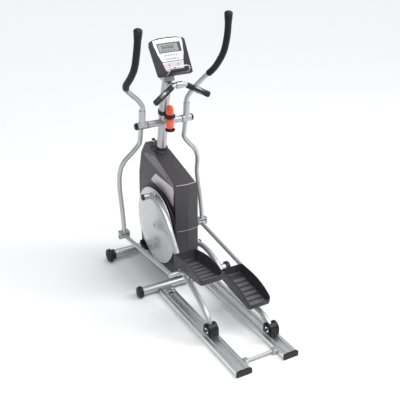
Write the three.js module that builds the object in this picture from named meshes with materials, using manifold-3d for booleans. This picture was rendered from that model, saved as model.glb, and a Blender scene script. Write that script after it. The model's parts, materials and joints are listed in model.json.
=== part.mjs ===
// Elliptical trainer with a front crank, two rear rails and swinging handlebars.
// Millimetres. +X is the user's right, +Y points to the front, +Z is up, and the floor is Z = 0.
import * as THREE from 'three';
import { mergeVertices } from 'three/addons/utils/BufferGeometryUtils.js';
import Module from 'manifold-3d';

const wasm = await Module();
wasm.setup();

// ---------------------------------------------------------------- driving dimensions

const LENGTH = 1456;              // rear rail caps to front wheels
const FOOT_SPAN = 644;            // width over the feet of the middle stabiliser
const GAP = 0.4;                  // between faces that touch
const RUN = 0.6;                  // radial play of a shaft in its bore

const LEG_X = 147;                // planes of the parts, from the middle outwards
const SHROUD_HALF = 75;
const GUARD_FACE = 108;
const DISC_FACE = 126;
const PEDAL_X = 133;
const LINK_X = 256;
const ARM_X = 261;
const PIVOT_ARM_X = 146;

const MID_Y = 198;                // middle stabiliser
const MID_TUBE_R = 25;
const MID_FOOT_R = 35;
const MID_FOOT_W = 29;
const FRONT_TUBE_R = 29;
const WHEEL_R = 43;
const WHEEL_W = 30;
const WHEEL_AXLE_R = 9;
const FRONT_Y = LENGTH / 2 - WHEEL_R;

const RAIL_W = 90;
const RAIL_TOP = 30;
const RIDGE_TOP = 37.6;
const RIDGE_AT = 21;              // ridge centre, either side of the rail's middle
const RAIL_CAP_T = 10;
const RAIL_FRONT_Y = MID_Y - MID_TUBE_R - 5;
const REAR_END_Y = -LENGTH / 2;
const ROD_R = 8;
const ROD_FROM_END = 80;

const CRANK_Y = 353;              // crank axis
const CRANK_Z = 374;
const CRANK_R = 205;              // crank pin radius
const DISC_R = 241;
const GUARD_R = 258;
const AXLE_R = 10;
const SHELL_R = 27;
const SHELL_HALF = 28;
const PULLEY_R = 140;
const PULLEY_X = -38;
const BELT_W = 10;
const BELT_OFF = 2;
const BELT_T = 2.5;
const FLY_Y = 540;
const FLY_Z = 300;
const FLY_R = 105;
const FLY_PULLEY_R = 20;
const FLY_AXLE_R = 6;

const LEG_LENGTH = 893;           // crank pin to roller axle
const LEG_R = 16.5;
const LEG_BARREL_R = 17;
const PIN_R = 9;
const Q_ALONG = 345;              // pedal pivot in the leg: along the leg from the roller axle
const Q_ABOVE = 59;               // and above it
const Q_BOSS_R = 15;
const Q_PIN_R = 8;
const ROLLER_R = 34;
const ROLLER_Z = RIDGE_TOP + GAP + ROLLER_R;
const LINK_LENGTH = 649;          // pedal pivot to the swing arm's lower joint
const LINK_R = 12.5;
const JOINT_BARREL_R = 16;

const PIVOT_Y = 435;              // swing arm pivot
const PIVOT_Z = 997;
const ARM_LENGTH = 740.8;         // pivot to lower joint
const ARM_R = 14;
const PIVOT_TUBE_R = 20;
const PIVOT_AXLE_R = 12;
const SLEEVE_R = 21;
const SLEEVE_IN = 113;
const SLEEVE_OUT = 180;
const SOCKET_R = 19.5;
const SOCKET_TOP = 118;
const SOCKET_DEPTH = 45;
const SOCKET_PLAY = 1.8;
const BAR_R = 13.8;
const GRIP_R = 19;

const MAST_R = 29;
const POST_R = 24;
const FIXED_BAR_R = 13;
const FIXED_GRIP_R = 17;
const BOTTLE_R = 27;
const BOTTLE_Y = 360;
const BOTTLE_Z = 968;
const BOTTLE_H = 168;

const PEDAL_W = 145;
const PEDAL_AHEAD = 81;           // front of the pedal, ahead of its pivot
const PEDAL_L = 320;
const PEDAL_FLOOR = 20;           // underside of the pedal above its pivot
const PEDAL_WALL = 5;
const PEDAL_RIBS = 6;

const CONSOLE_Y = 327;
const CONSOLE_Z = 1414;
const CONSOLE_TILT = 55.7;        // degrees from level
const CONSOLE_W = 220;
const CONSOLE_H = 217;
const CONSOLE_D = 42;

// ---------------------------------------------------------------- solids

function solid(geometry) {
  const bare = geometry.clone();
  bare.deleteAttribute('normal');
  bare.deleteAttribute('uv');
  const merged = mergeVertices(bare, 1e-4);
  return new wasm.Manifold(new wasm.Mesh({
    numProp: 3,
    vertProperties: merged.attributes.position.array,
    triVerts: new Uint32Array(merged.index.array),
  }));
}

function shapeOf(manifold) {
  const mesh = manifold.getMesh();
  const geometry = new THREE.BufferGeometry();
  geometry.setAttribute('position', new THREE.BufferAttribute(new Float32Array(mesh.vertProperties), 3));
  geometry.setIndex(new THREE.BufferAttribute(new Uint32Array(mesh.triVerts), 1));
  return geometry;
}

const join = (...parts) => parts.reduce((sum, part) => sum.add(part));
const cut = (body, ...tools) => tools.reduce((rest, tool) => rest.subtract(tool), body);

function circle(radius, sides) {
  const points = [];
  for (let i = 0; i < sides; i += 1) {
    const turn = (2 * Math.PI * (i + 0.5)) / sides;
    points.push(new THREE.Vector2(radius * Math.cos(turn), radius * Math.sin(turn)));
  }
  return new THREE.Shape(points);
}

// A round bar along a smooth curve through the given points.
function sweep(points, radius, steps = 12, sides = 10) {
  const path = new THREE.CatmullRomCurve3(points.map((p) => new THREE.Vector3(...p)), false, 'centripetal');
  return solid(new THREE.ExtrudeGeometry(circle(radius, sides), { extrudePath: path, steps }));
}

// A straight round bar between two points.
function rod(a, b, radius, sides = 16) {
  const from = new THREE.Vector3(...a);
  const to = new THREE.Vector3(...b);
  const geometry = new THREE.CylinderGeometry(radius, radius, from.distanceTo(to), sides);
  const along = to.clone().sub(from).normalize();
  geometry.applyQuaternion(new THREE.Quaternion().setFromUnitVectors(new THREE.Vector3(0, 1, 0), along));
  geometry.translate(...from.add(to).multiplyScalar(0.5).toArray());
  return solid(geometry);
}

const bar = (side, x0, x1, y, z, radius, sides = 16) => (
  rod([side * x0, y, z], [side * x1, y, z], radius, sides)
);

function box(x0, x1, y0, y1, z0, z1) {
  const geometry = new THREE.BoxGeometry(Math.abs(x1 - x0), y1 - y0, z1 - z0);
  geometry.translate((x0 + x1) / 2, (y0 + y1) / 2, (z0 + z1) / 2);
  return solid(geometry);
}

// A side outline, given as [y, z] points or as a Shape, made solid between two planes of X.
function slab(outline, x0, x1) {
  const shape = outline instanceof THREE.Shape ? outline
    : new THREE.Shape(outline.map(([y, z]) => new THREE.Vector2(y, z)));
  const geometry = new THREE.ExtrudeGeometry(shape, {
    depth: Math.abs(x1 - x0), bevelEnabled: false, curveSegments: 6,
  });
  geometry.applyMatrix4(new THREE.Matrix4().set(0, 0, 1, Math.min(x0, x1), 1, 0, 0, 0, 0, 1, 0, 0, 0, 0, 0, 1));
  return solid(geometry);
}

// A cross-section of [x, z] points made solid between two planes of Y.
function beam(section, y0, y1) {
  const shape = new THREE.Shape(section.map(([x, z]) => new THREE.Vector2(x, z)));
  const geometry = new THREE.ExtrudeGeometry(shape, { depth: y1 - y0, bevelEnabled: false });
  geometry.applyMatrix4(new THREE.Matrix4().set(1, 0, 0, 0, 0, 0, -1, y1, 0, 1, 0, 0, 0, 0, 0, 1));
  return solid(geometry);
}

// A turned piece on an axis along X: the profile is [distance from the middle plane, radius].
function turned(side, profile, y, z, segments = 18) {
  const points = profile.map(([x, r]) => new THREE.Vector2(r, x));
  const geometry = new THREE.LatheGeometry(points, segments);
  geometry.applyMatrix4(new THREE.Matrix4().set(0, side, 0, 0, 0, 0, side, y, 1, 0, 0, z, 0, 0, 0, 1));
  const made = solid(geometry);
  return made.volume() > 0 ? made : solid(flipped(geometry));
}

function flipped(geometry) {
  const turnedOver = geometry.clone();
  const index = turnedOver.index.array;
  for (let i = 0; i < index.length; i += 3) {
    [index[i + 1], index[i + 2]] = [index[i + 2], index[i + 1]];
  }
  return turnedOver;
}

// A convex outline drawn in by a wall's thickness.
function inset(points, wall) {
  const edges = points.map((p, i) => {
    const q = points[(i + 1) % points.length];
    const length = Math.hypot(q[0] - p[0], q[1] - p[1]);
    const normal = [-(q[1] - p[1]) / length, (q[0] - p[0]) / length];
    return { normal, offset: normal[0] * p[0] + normal[1] * p[1] + wall };
  });
  return edges.map((edge, i) => {
    const before = edges[(i + edges.length - 1) % edges.length];
    const det = before.normal[0] * edge.normal[1] - before.normal[1] * edge.normal[0];
    return [
      (before.offset * edge.normal[1] - edge.offset * before.normal[1]) / det,
      (before.normal[0] * edge.offset - edge.normal[0] * before.offset) / det,
    ];
  });
}

// ---------------------------------------------------------------- the linkage at rest

// The crank pin of one side: the left one is at the top, the right one at the bottom.
function linkage(side) {
  const pin = { y: CRANK_Y, z: CRANK_Z - side * CRANK_R };
  const rise = pin.z - ROLLER_Z;
  const roller = { y: pin.y - Math.sqrt(LEG_LENGTH ** 2 - rise ** 2), z: ROLLER_Z };
  const along = { y: (pin.y - roller.y) / LEG_LENGTH, z: rise / LEG_LENGTH };
  const inLeg = (s, h) => [roller.y + s * along.y - h * along.z, roller.z + s * along.z + h * along.y];
  const [qy, qz] = inLeg(Q_ALONG, Q_ABOVE);
  const dy = PIVOT_Y - qy;
  const dz = PIVOT_Z - qz;
  const reach = Math.hypot(dy, dz);
  const base = (LINK_LENGTH ** 2 - ARM_LENGTH ** 2 + reach ** 2) / (2 * reach);
  const off = Math.sqrt(LINK_LENGTH ** 2 - base ** 2);
  const joint = { y: qy + (base * dy + off * dz) / reach, z: qz + (base * dz - off * dy) / reach };
  const linkDir = { y: (joint.y - qy) / LINK_LENGTH, z: (joint.z - qz) / LINK_LENGTH };
  const inLink = (u, v) => [qy + u * linkDir.y - v * linkDir.z, qz + u * linkDir.z + v * linkDir.y];
  const armDir = { y: (joint.y - PIVOT_Y) / ARM_LENGTH, z: (joint.z - PIVOT_Z) / ARM_LENGTH };
  const inArm = (forward, up) => [
    PIVOT_Y - forward * armDir.z - up * armDir.y,
    PIVOT_Z + forward * armDir.y - up * armDir.z,
  ];
  return { pin, roller, q: { y: qy, z: qz }, joint, inLeg, inLink, inArm };
}

const trainer = new THREE.Group();

function add(name, manifold, colour, roughness, metalness, parent = trainer) {
  const material = new THREE.MeshStandardMaterial({ color: colour, roughness, metalness });
  const mesh = new THREE.Mesh(shapeOf(manifold), material);
  mesh.name = name;
  parent.add(mesh);
}

const SILVER = [0xb4b6b9, 0.38, 0.85];
const ALUMINIUM = [0xc9cbcd, 0.3, 0.9];
const BLACK = [0x17171a, 0.55, 0];
const GREY_SHELL = [0x4b494d, 0.5, 0];
const STEEL = [0x8b8e93, 0.35, 0.9];
const sideName = (side) => (side < 0 ? 'left' : 'right');

// ---------------------------------------------------------------- base

const MAST_FOOT = [620, 70];                      // where the post's line meets the keel, as [y, z]
const MAST_LEAN = -0.186;                         // Y per Z of the post and the lower mast
const MAST_JOIN_Z = 765;
const mastY = (z) => MAST_FOOT[0] + MAST_LEAN * (z - MAST_FOOT[1]);
const POST_TOP_Z = MAST_JOIN_Z + 75;
const KEEL_TOP = 75;
const KEEL_BOTTOM = 20;
const KEEL_HALF = 30;

const SHOE_FROM = 25;             // the brake shoe's ends, in degrees round the flywheel
const SHOE_TO = 85;
const SHOE_R = FLY_R + 3;
const SHOE_T = 12;
const LUG_PIN_R = 3.4;

function shoeSpot(radius, degrees) {
  const turn = THREE.MathUtils.degToRad(degrees);
  return [FLY_Y + radius * Math.cos(turn), FLY_Z + radius * Math.sin(turn)];
}

function mainFrame() {
  const keelRear = MID_Y + MID_TUBE_R + GAP;
  const keelFront = FRONT_Y - FRONT_TUBE_R - GAP;
  const keel = box(-KEEL_HALF, KEEL_HALF, keelRear, keelFront, KEEL_BOTTOM, KEEL_TOP);
  const post = rod([0, mastY(KEEL_TOP - 10), KEEL_TOP - 10], [0, mastY(POST_TOP_Z), POST_TOP_Z], POST_R);
  const shoulder = rod([0, mastY(KEEL_TOP), KEEL_TOP], [0, mastY(MAST_JOIN_Z - GAP), MAST_JOIN_Z - GAP], MAST_R);
  const upright = box(-18, 18, CRANK_Y - 22, CRANK_Y + 22, KEEL_TOP - 5, CRANK_Z);
  const shell = bar(1, -SHELL_HALF, SHELL_HALF, CRANK_Y, CRANK_Z, SHELL_R);
  const tab = box(-9, 9, FLY_Y - 16, mastY(FLY_Z) + 5, FLY_Z - 16, FLY_Z + 16);
  const flywheelAxle = bar(-1, -15, 70, FLY_Y, FLY_Z, FLY_AXLE_R, 12);
  const brakePin = bar(-1, 20, 69, ...shoeSpot(SHOE_R + SHOE_T, SHOE_TO), LUG_PIN_R, 8);
  return cut(
    join(keel, post, shoulder, upright, shell, tab, flywheelAxle, brakePin),
    bar(1, -SHELL_HALF - 1, SHELL_HALF + 1, CRANK_Y, CRANK_Z, SHELL_R - 6),
  );
}

function frontStabiliser() {
  const half = FOOT_SPAN / 2 - 41;
  const tube = bar(1, -half, half, FRONT_Y, WHEEL_R, FRONT_TUBE_R, 20);
  const axleEnd = half + 3 + WHEEL_W - 6;
  return join(tube, bar(1, -axleEnd, axleEnd, FRONT_Y, WHEEL_R, WHEEL_AXLE_R, 14));
}

function transportWheel(side) {
  const inner = FOOT_SPAN / 2 - 38;
  const outer = inner + WHEEL_W;
  const bore = WHEEL_AXLE_R + RUN;
  return turned(side, [
    [inner, bore], [inner, WHEEL_R - 9], [inner + 3, WHEEL_R - 3], [inner + 6, WHEEL_R], [outer - 6, WHEEL_R],
    [outer - 2, WHEEL_R - 4], [outer, WHEEL_R - 10], [outer, 0], [outer - 5, 0], [outer - 5, bore], [inner, bore],
  ], FRONT_Y, WHEEL_R);
}

const FOOT_INNER = FOOT_SPAN / 2 - MID_FOOT_W;

function midStabiliser() {
  const half = FOOT_INNER - GAP;
  const tube = bar(1, -half, half, MID_Y, MID_FOOT_R, MID_TUBE_R, 20);
  const brackets = [-1, 1].map((side) => box(
    side * LEG_X - 36, side * LEG_X + 36, RAIL_FRONT_Y - 62, MID_Y, RIDGE_TOP + GAP, RIDGE_TOP + GAP + 6,
  ));
  return join(tube, ...brackets);
}

function midFoot(side) {
  const outer = FOOT_SPAN / 2;
  return turned(side, [
    [FOOT_INNER, 0], [FOOT_INNER, MID_FOOT_R - 2], [FOOT_INNER + 2, MID_FOOT_R], [outer - 6, MID_FOOT_R],
    [outer - 2, MID_FOOT_R - 4], [outer, MID_FOOT_R - 10], [outer, 0],
  ], MID_Y, MID_FOOT_R, 20);
}

function railSection(x, grow = 0) {
  const half = RAIL_W / 2 + grow;
  const ridge = (at) => [[at + 6, RAIL_TOP], [at + 4, RIDGE_TOP], [at - 4, RIDGE_TOP], [at - 6, RAIL_TOP]];
  return [
    [-half, 2 - 2 * Math.sign(grow)], [half, 2 - 2 * Math.sign(grow)], [half, RAIL_TOP - 4], [half - 4, RAIL_TOP],
    ...ridge(RIDGE_AT), ...ridge(-RIDGE_AT), [-half + 4, RAIL_TOP], [-half, RAIL_TOP - 4],
  ].map(([dx, z]) => [x + dx, z]);
}

const rail = (side) => beam(railSection(side * LEG_X), REAR_END_Y + RAIL_CAP_T + GAP, RAIL_FRONT_Y);
const railCap = (side) => beam(railSection(side * LEG_X, 1), REAR_END_Y, REAR_END_Y + RAIL_CAP_T);

function rearRod() {
  const y = REAR_END_Y + ROD_FROM_END;
  const z = RAIL_TOP / 2 + 3;
  const reach = LEG_X - RAIL_W / 2 - GAP;
  const flange = (side) => box(side * (reach - 6), side * reach, y - 16, y + 16, z - 11, z + 11);
  return join(bar(1, -reach, reach, y, z, ROD_R, 12), flange(-1), flange(1));
}

add('main_frame', mainFrame(), ...STEEL);
add('front_stabiliser', frontStabiliser(), ...SILVER);
add('mid_stabiliser', midStabiliser(), ...SILVER);
add('rear_cross_rod', rearRod(), ...SILVER);
for (const side of [-1, 1]) {
  add(`transport_wheel_${sideName(side)}`, transportWheel(side), ...BLACK);
  add(`mid_foot_${sideName(side)}`, midFoot(side), ...BLACK);
  add(`rail_${sideName(side)}`, rail(side), ...ALUMINIUM);
  add(`rail_cap_${sideName(side)}`, railCap(side), ...BLACK);
}

// ---------------------------------------------------------------- crank, belt and flywheel

function crankBearing(side) {
  return turned(side, [
    [SHELL_HALF - 10, AXLE_R + RUN], [SHELL_HALF - 10, SHELL_R - 6 - GAP], [SHELL_HALF, SHELL_R - 6 - GAP],
    [SHELL_HALF, AXLE_R + RUN], [SHELL_HALF - 10, AXLE_R + RUN],
  ], CRANK_Y, CRANK_Z, 16);
}

const AXLE_END = DISC_FACE - 8;
const ARM_HUB_R = 34;

function crankDisc(side) {
  const { pin } = linkage(side);
  const back = GUARD_FACE + 4;
  const hub = AXLE_R + 20;
  const plate = turned(side, [
    [back, AXLE_R + GAP], [back, hub], [DISC_FACE - 5, hub + 2], [DISC_FACE - 8, DISC_R - 4], [back, DISC_R - 4],
    [back, DISC_R], [DISC_FACE - 7, DISC_R], [DISC_FACE - 4, DISC_R - 4], [DISC_FACE, 60], [DISC_FACE, 0],
    [AXLE_END + 2, 0], [AXLE_END + 2, AXLE_R + GAP], [back, AXLE_R + GAP],
  ], CRANK_Y, CRANK_Z, 32);
  return join(plate, bar(side, DISC_FACE - 7, DISC_FACE + 3, pin.y, pin.z, LEG_BARREL_R - 1));
}

function crankAxle() {
  return bar(1, -AXLE_END, AXLE_END, CRANK_Y, CRANK_Z, AXLE_R);
}

function drivePulley() {
  const x0 = -PULLEY_X - BELT_W / 2 - 1;
  const x1 = -PULLEY_X + BELT_W / 2 + 1;
  return turned(-1, [
    [x0, AXLE_R + GAP], [x0, 30], [x0 + 4, 34], [x0 + 4, PULLEY_R - 12], [x0, PULLEY_R - 10], [x0, PULLEY_R],
    [x1, PULLEY_R], [x1, AXLE_R + GAP], [x0, AXLE_R + GAP],
  ], CRANK_Y, CRANK_Z, 24);
}

// The belt's outline round the two pulleys, at a given distance from their rims.
function beltOutline(off) {
  const dy = FLY_Y - CRANK_Y;
  const dz = FLY_Z - CRANK_Z;
  const heading = Math.atan2(dz, dy);
  const open = Math.acos((PULLEY_R - FLY_PULLEY_R) / Math.hypot(dy, dz));
  const points = [];
  const arc = (y, z, radius, from, to, steps) => {
    for (let i = 0; i <= steps; i += 1) {
      const turn = heading + from + ((to - from) * i) / steps;
      points.push([y + radius * Math.cos(turn), z + radius * Math.sin(turn)]);
    }
  };
  arc(CRANK_Y, CRANK_Z, PULLEY_R + off, open, 2 * Math.PI - open, 20);
  arc(FLY_Y, FLY_Z, FLY_PULLEY_R + off, -open, open, 6);
  return points;
}

function driveBelt() {
  const x0 = PULLEY_X - BELT_W / 2;
  const x1 = PULLEY_X + BELT_W / 2;
  return cut(slab(beltOutline(BELT_OFF + BELT_T), x0, x1), slab(beltOutline(BELT_OFF), x0 - 1, x1 + 1));
}

function flywheel() {
  const rim0 = -PULLEY_X + BELT_W / 2 + 7;
  const rim1 = rim0 + 17;
  const x0 = -PULLEY_X - BELT_W / 2 - 1;
  return turned(-1, [
    [x0, FLY_AXLE_R + RUN], [x0, FLY_PULLEY_R], [rim0 + 3, FLY_PULLEY_R], [rim0 + 3, FLY_R - 26],
    [rim0, FLY_R - 22], [rim0, FLY_R], [rim1, FLY_R], [rim1, FLY_R - 22], [rim1 - 4, FLY_R - 26],
    [rim1 - 4, 26], [rim1, 22], [rim1, FLY_AXLE_R + RUN], [x0, FLY_AXLE_R + RUN],
  ], FLY_Y, FLY_Z, 24);
}

// The brake's curved shoe of magnets, hung from a lug at its upper end.
function magnetArm() {
  const outline = [];
  for (let i = 0; i <= 6; i += 1) {
    outline.push(shoeSpot(SHOE_R + SHOE_T, SHOE_FROM + ((SHOE_TO - SHOE_FROM) * i) / 6));
  }
  for (let i = 6; i >= 0; i -= 1) {
    outline.push(shoeSpot(SHOE_R, SHOE_FROM + ((SHOE_TO - SHOE_FROM) * i) / 6));
  }
  const pin = shoeSpot(SHOE_R + SHOE_T, SHOE_TO);
  const lug = bar(-1, 50, 67, ...pin, 11, 12);
  return cut(join(slab(outline, -67, -50), lug), bar(-1, 49, 68, ...pin, LUG_PIN_R + RUN, 8));
}

add('crank_axle', crankAxle(), ...STEEL);
add('drive_pulley', drivePulley(), 0x2b2b2e, 0.6, 0.1);
add('drive_belt', driveBelt(), 0x101012, 0.85, 0);
add('flywheel', flywheel(), ...STEEL);
add('magnet_arm', magnetArm(), 0x55575b, 0.45, 0.7);
for (const side of [-1, 1]) {
  add(`crank_bearing_${sideName(side)}`, crankBearing(side), ...STEEL);
}
add('crank_disc', crankDisc(-1), 0xc4c6ca, 0.3, 0.6);
add('crank_arm', crankArm(1), 0xc4c6ca, 0.3, 0.6);

// The plain crank on the other side: a bar from the axle to its pin.
function crankArm(side) {
  const { pin } = linkage(side);
  const back = GUARD_FACE + 4;
  const reach = CRANK_Z - pin.z;
  const width = LEG_BARREL_R + 3;
  const outline = [
    [pin.y + width, pin.z], [pin.y + 28, CRANK_Z - reach * 0.1], [pin.y - 28, CRANK_Z - reach * 0.1],
    [pin.y - width, pin.z],
  ];
  const arm = join(
    slab(outline, side * back, side * (DISC_FACE - 2)),
    bar(side, back, DISC_FACE - 2, pin.y, pin.z, width, 24),
    bar(side, back, DISC_FACE, CRANK_Y, CRANK_Z, ARM_HUB_R, 28),
    bar(side, DISC_FACE - 7, DISC_FACE + 3, pin.y, pin.z, LEG_BARREL_R - 1),
  );
  return cut(arm, bar(side, back - 2, AXLE_END + 2, CRANK_Y, CRANK_Z, AXLE_R + GAP));
}

// ---------------------------------------------------------------- shroud

const SHELL_WALL = 3;
const SHROUD_OUTLINE = [                          // [y, z], anticlockwise
  [174, 92], [655, 80], [668, 300], [664, 520], [650, 745], [600, 826], [545, 832], [528, 800], [440, 792],
  [156, 700], [152, 380],
];
const COLLAR_FOOT = 810;
const COLLAR_HEAD = 828;
const GUARD_T = 8;
const GUARD_HUB_R = 190;
const SHROUD_SECTION = [                          // [x, z] of one half, narrowing upwards
  [0, 0], [SHROUD_HALF, 0], [SHROUD_HALF, 610], [44, 890], [0, 890],
];

function shroudHalf(side) {
  const mirrored = (points) => points.map(([x, z]) => [side * x, z]);
  const section = side < 0 ? mirrored(SHROUD_SECTION).reverse() : SHROUD_SECTION;
  const outer = slab(SHROUD_OUTLINE, side * (GAP / 2), side * SHROUD_HALF).intersect(beam(section, 100, 760));
  const hollowSide = inset(SHROUD_OUTLINE, SHELL_WALL);
  hollowSide[0][1] -= 30;
  hollowSide[1][1] -= 30;
  const innerHalf = SHROUD_HALF - SHELL_WALL;
  const wall = [[-5, -40], [innerHalf, -40], [innerHalf, 610], [44 - SHELL_WALL, 890], [-5, 890]];
  const hollowSection = side < 0 ? mirrored(wall).reverse() : wall;
  const hollow = slab(hollowSide, side * -5, side * innerHalf).intersect(beam(hollowSection, 90, 770));
  const mastHole = rod([0, mastY(760), 760], [0, mastY(900), 900], MAST_R + 2, 20);
  const inlet = rod([INLET.x, 640, INLET.z], [INLET.x, 690, INLET.z], INLET.r + RUN, 16);
  return cut(outer, hollow, mastHole, bar(side, 60, 90, CRANK_Y, CRANK_Z, AXLE_R + 14), inlet);
}

// The round black guard behind the crank disc: a thin flange on a hollow drum, open at the middle.
function discGuard(side) {
  const inner = SHROUD_HALF + GAP;
  const hole = AXLE_R + 10;
  const skin = GUARD_FACE - 3;
  return turned(side, [
    [skin, hole], [GUARD_FACE, hole], [GUARD_FACE, GUARD_R - 3], [skin, GUARD_R], [GUARD_FACE - GUARD_T, GUARD_R],
    [GUARD_FACE - GUARD_T, GUARD_HUB_R], [inner, GUARD_HUB_R], [inner, GUARD_HUB_R - 5], [skin, GUARD_HUB_R - 5],
    [skin, hole],
  ], CRANK_Y, CRANK_Z, 28);
}

function mastCollar() {
  const low = COLLAR_FOOT;
  const high = COLLAR_HEAD;
  const ring = rod([0, mastY(low), low], [0, mastY(high), high], MAST_R + 10, 20);
  return cut(ring, rod([0, mastY(low - 20), low - 20], [0, mastY(high + 20), high + 20], MAST_R + RUN + 0.4, 20));
}

const INLET = { x: 40, z: 190, r: 9 };

// A barrel socket for a plug-in power supply, in the front wall of the right half.
function powerInlet() {
  const frontWall = 661;
  const body = rod([INLET.x, frontWall - 18, INLET.z], [INLET.x, frontWall + 5, INLET.z], INLET.r, 16);
  const flange = rod([INLET.x, frontWall + 3, INLET.z], [INLET.x, frontWall + 5, INLET.z], INLET.r + 4, 16);
  return cut(
    join(body, flange),
    rod([INLET.x, frontWall - 10, INLET.z], [INLET.x, frontWall + 10, INLET.z], INLET.r - 3, 12),
  );
}

add('power_inlet', powerInlet(), ...BLACK);
for (const side of [-1, 1]) {
  add(`shroud_${sideName(side)}`, shroudHalf(side), ...GREY_SHELL);
}
add('disc_guard', discGuard(-1), ...BLACK);
add('mast_collar', mastCollar(), ...BLACK);

// ---------------------------------------------------------------- mast and fixed handlebar

const MAST_CURVE = [
  [0, mastY(MAST_JOIN_Z), MAST_JOIN_Z], [0, mastY(880), 880], [0, mastY(1000), 1000], [0, 436, 1085],
  [0, 412, 1175], [0, 384, 1262],
];
const BAR_Y = 238;
const BAR_Z = 1272;
const CLAMP_HALF = 20;

function mastTube(extra = 0) {
  return sweep(MAST_CURVE, MAST_R + extra, 9, 16);
}

function mast() {
  const cross = bar(1, -SLEEVE_IN + 1, SLEEVE_IN - 1, PIVOT_Y, PIVOT_Z, PIVOT_TUBE_R);
  const axle = bar(1, -SLEEVE_OUT + 1, SLEEVE_OUT - 1, PIVOT_Y, PIVOT_Z, PIVOT_AXLE_R);
  const stem = sweep([[0, 395, 1225], [0, 330, 1246], [0, BAR_Y + 14, BAR_Z - 4]], 15, 4, 12);
  const clamp = bar(1, -CLAMP_HALF, CLAMP_HALF, BAR_Y, BAR_Z, FIXED_BAR_R + 7);
  const plate = slab([[352, 1262], [412, 1262], [402, 1372], [384, 1372]], -34, 34);
  const socket = rod(
    [0, mastY(MAST_JOIN_Z - 5), MAST_JOIN_Z - 5], [0, mastY(POST_TOP_Z + 5), POST_TOP_Z + 5], POST_R + RUN,
  );
  const behindConsole = consoleSolid(-CONSOLE_W, CONSOLE_W, -CONSOLE_H, CONSOLE_H, -CONSOLE_D - GAP, 60);
  return cut(
    join(mastTube(), cross, axle, stem, clamp, plate),
    socket,
    bar(1, -CLAMP_HALF - 2, CLAMP_HALF + 2, BAR_Y, BAR_Z, FIXED_BAR_R + RUN),
    behindConsole,
  );
}

const BAR_CURVE = [
  [-164, 200, 1204], [-104, 218, 1236], [-52, 234, 1263], [-24, BAR_Y, BAR_Z], [0, BAR_Y, BAR_Z],
  [24, BAR_Y, BAR_Z], [52, 234, 1263], [104, 218, 1236], [164, 200, 1204],
];

function fixedHandlebar() {
  return sweep(BAR_CURVE, FIXED_BAR_R, 16, 12);
}

function fixedGrip(side) {
  const from = [side * 46, 235.4, 1265.6];
  const to = [side * 170, 198.2, 1200.8];
  const sleeve = rod(from, to, FIXED_GRIP_R, 16);
  return cut(sleeve, sweep(BAR_CURVE, FIXED_BAR_R + RUN, 16, 12));
}

add('mast', mast(), ...SILVER);
add('fixed_handlebar', fixedHandlebar(), ...SILVER);
for (const side of [-1, 1]) {
  add(`fixed_grip_${sideName(side)}`, fixedGrip(side), 0x2a2a2c, 0.8, 0);
}

// ---------------------------------------------------------------- bottle

function bottleCage() {
  const inner = BOTTLE_R + 1.5;
  const wall = 3;
  const round = (radius, z0, z1) => rod([0, BOTTLE_Y, z0], [0, BOTTLE_Y, z1], radius, 18);
  const back = BOTTLE_Y + inner;
  const floor = BOTTLE_Z - GAP;
  const cup = cut(round(inner + wall, floor - 4, floor + 26), round(inner, floor, floor + 40));
  const ring = cut(round(inner + wall, floor + 88, floor + 106), round(inner, floor + 80, floor + 120));
  const spine = box(-9, 9, back, back + 5, floor - 4, floor + 120);
  const stub = box(-11, 11, back + 2, mastY(1000), 1046, 1070);
  const band = mastTube(5).intersect(box(-50, 50, 380, 520, 1046, 1070));
  return cut(join(cup, ring, spine, stub, band), mastTube(RUN));
}

function waterBottle() {
  const r = BOTTLE_R;
  const profile = [[0, 0], [0, r - 3], [3, r], [70, r], [76, r - 3], [84, r - 3], [90, r], [126, r], [138, r - 8],
    [138, 15], [158, 15], [160, 12], [BOTTLE_H, 10], [BOTTLE_H, 0]];
  const points = profile.map(([h, radius]) => new THREE.Vector2(radius, h));
  const geometry = new THREE.LatheGeometry(points, 18);
  geometry.rotateX(Math.PI / 2);
  geometry.translate(0, BOTTLE_Y, BOTTLE_Z);
  const made = solid(geometry);
  return made.volume() > 0 ? made : solid(flipped(geometry));
}

add('bottle_cage', bottleCage(), ...BLACK);
add('water_bottle', waterBottle(), 0xe8432c, 0.35, 0);

// ---------------------------------------------------------------- console

// A box in the console's own tilted frame: x to the right, y up the face, z out of it.
function consoleSolid(x0, x1, y0, y1, z0, z1) {
  return tilted(box(x0, x1, y0, y1, z0, z1));
}

function tilted(manifold) {
  const geometry = shapeOf(manifold);
  geometry.rotateX(THREE.MathUtils.degToRad(CONSOLE_TILT));
  geometry.translate(0, CONSOLE_Y, CONSOLE_Z);
  return solid(geometry);
}

// A closed outline of [x, y] points in the console's frame, from z0 to z1.
function plate(points, z0, z1) {
  const shape = new THREE.Shape(points.map(([x, y]) => new THREE.Vector2(x, y)));
  const geometry = new THREE.ExtrudeGeometry(shape, { depth: z1 - z0, bevelEnabled: false });
  geometry.translate(0, 0, z0);
  return solid(geometry);
}

const FACE_OUTLINE = [
  [-52, -84], [52, -84], [58, -72], [66, -30], [66, -24], [80, 10], [80, 30], [90, 66], [90, 96],
  [46, 102], [0, 104], [-46, 102], [-90, 96], [-90, 66], [-80, 30], [-80, 10], [-66, -24], [-66, -30], [-58, -72],
];
const FACE_DEPTH = 3;
const LCD = { x: 65, y0: 18, y1: 76 };
const BUTTONS = {
  button_start: { x: 0, y: -66, r: 7 },
  button_up: { x: -28, y: -50, r: 6 },
  button_down: { x: 28, y: -50, r: 6 },
};
const BUTTON_TRAVEL = 1.5;
const round = (b, extra, z0, z1) => {
  const geometry = new THREE.CylinderGeometry(b.r + extra, b.r + extra, z1 - z0, 14);
  geometry.rotateX(Math.PI / 2);
  geometry.translate(b.x, b.y, (z0 + z1) / 2);
  return solid(geometry);
};

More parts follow.
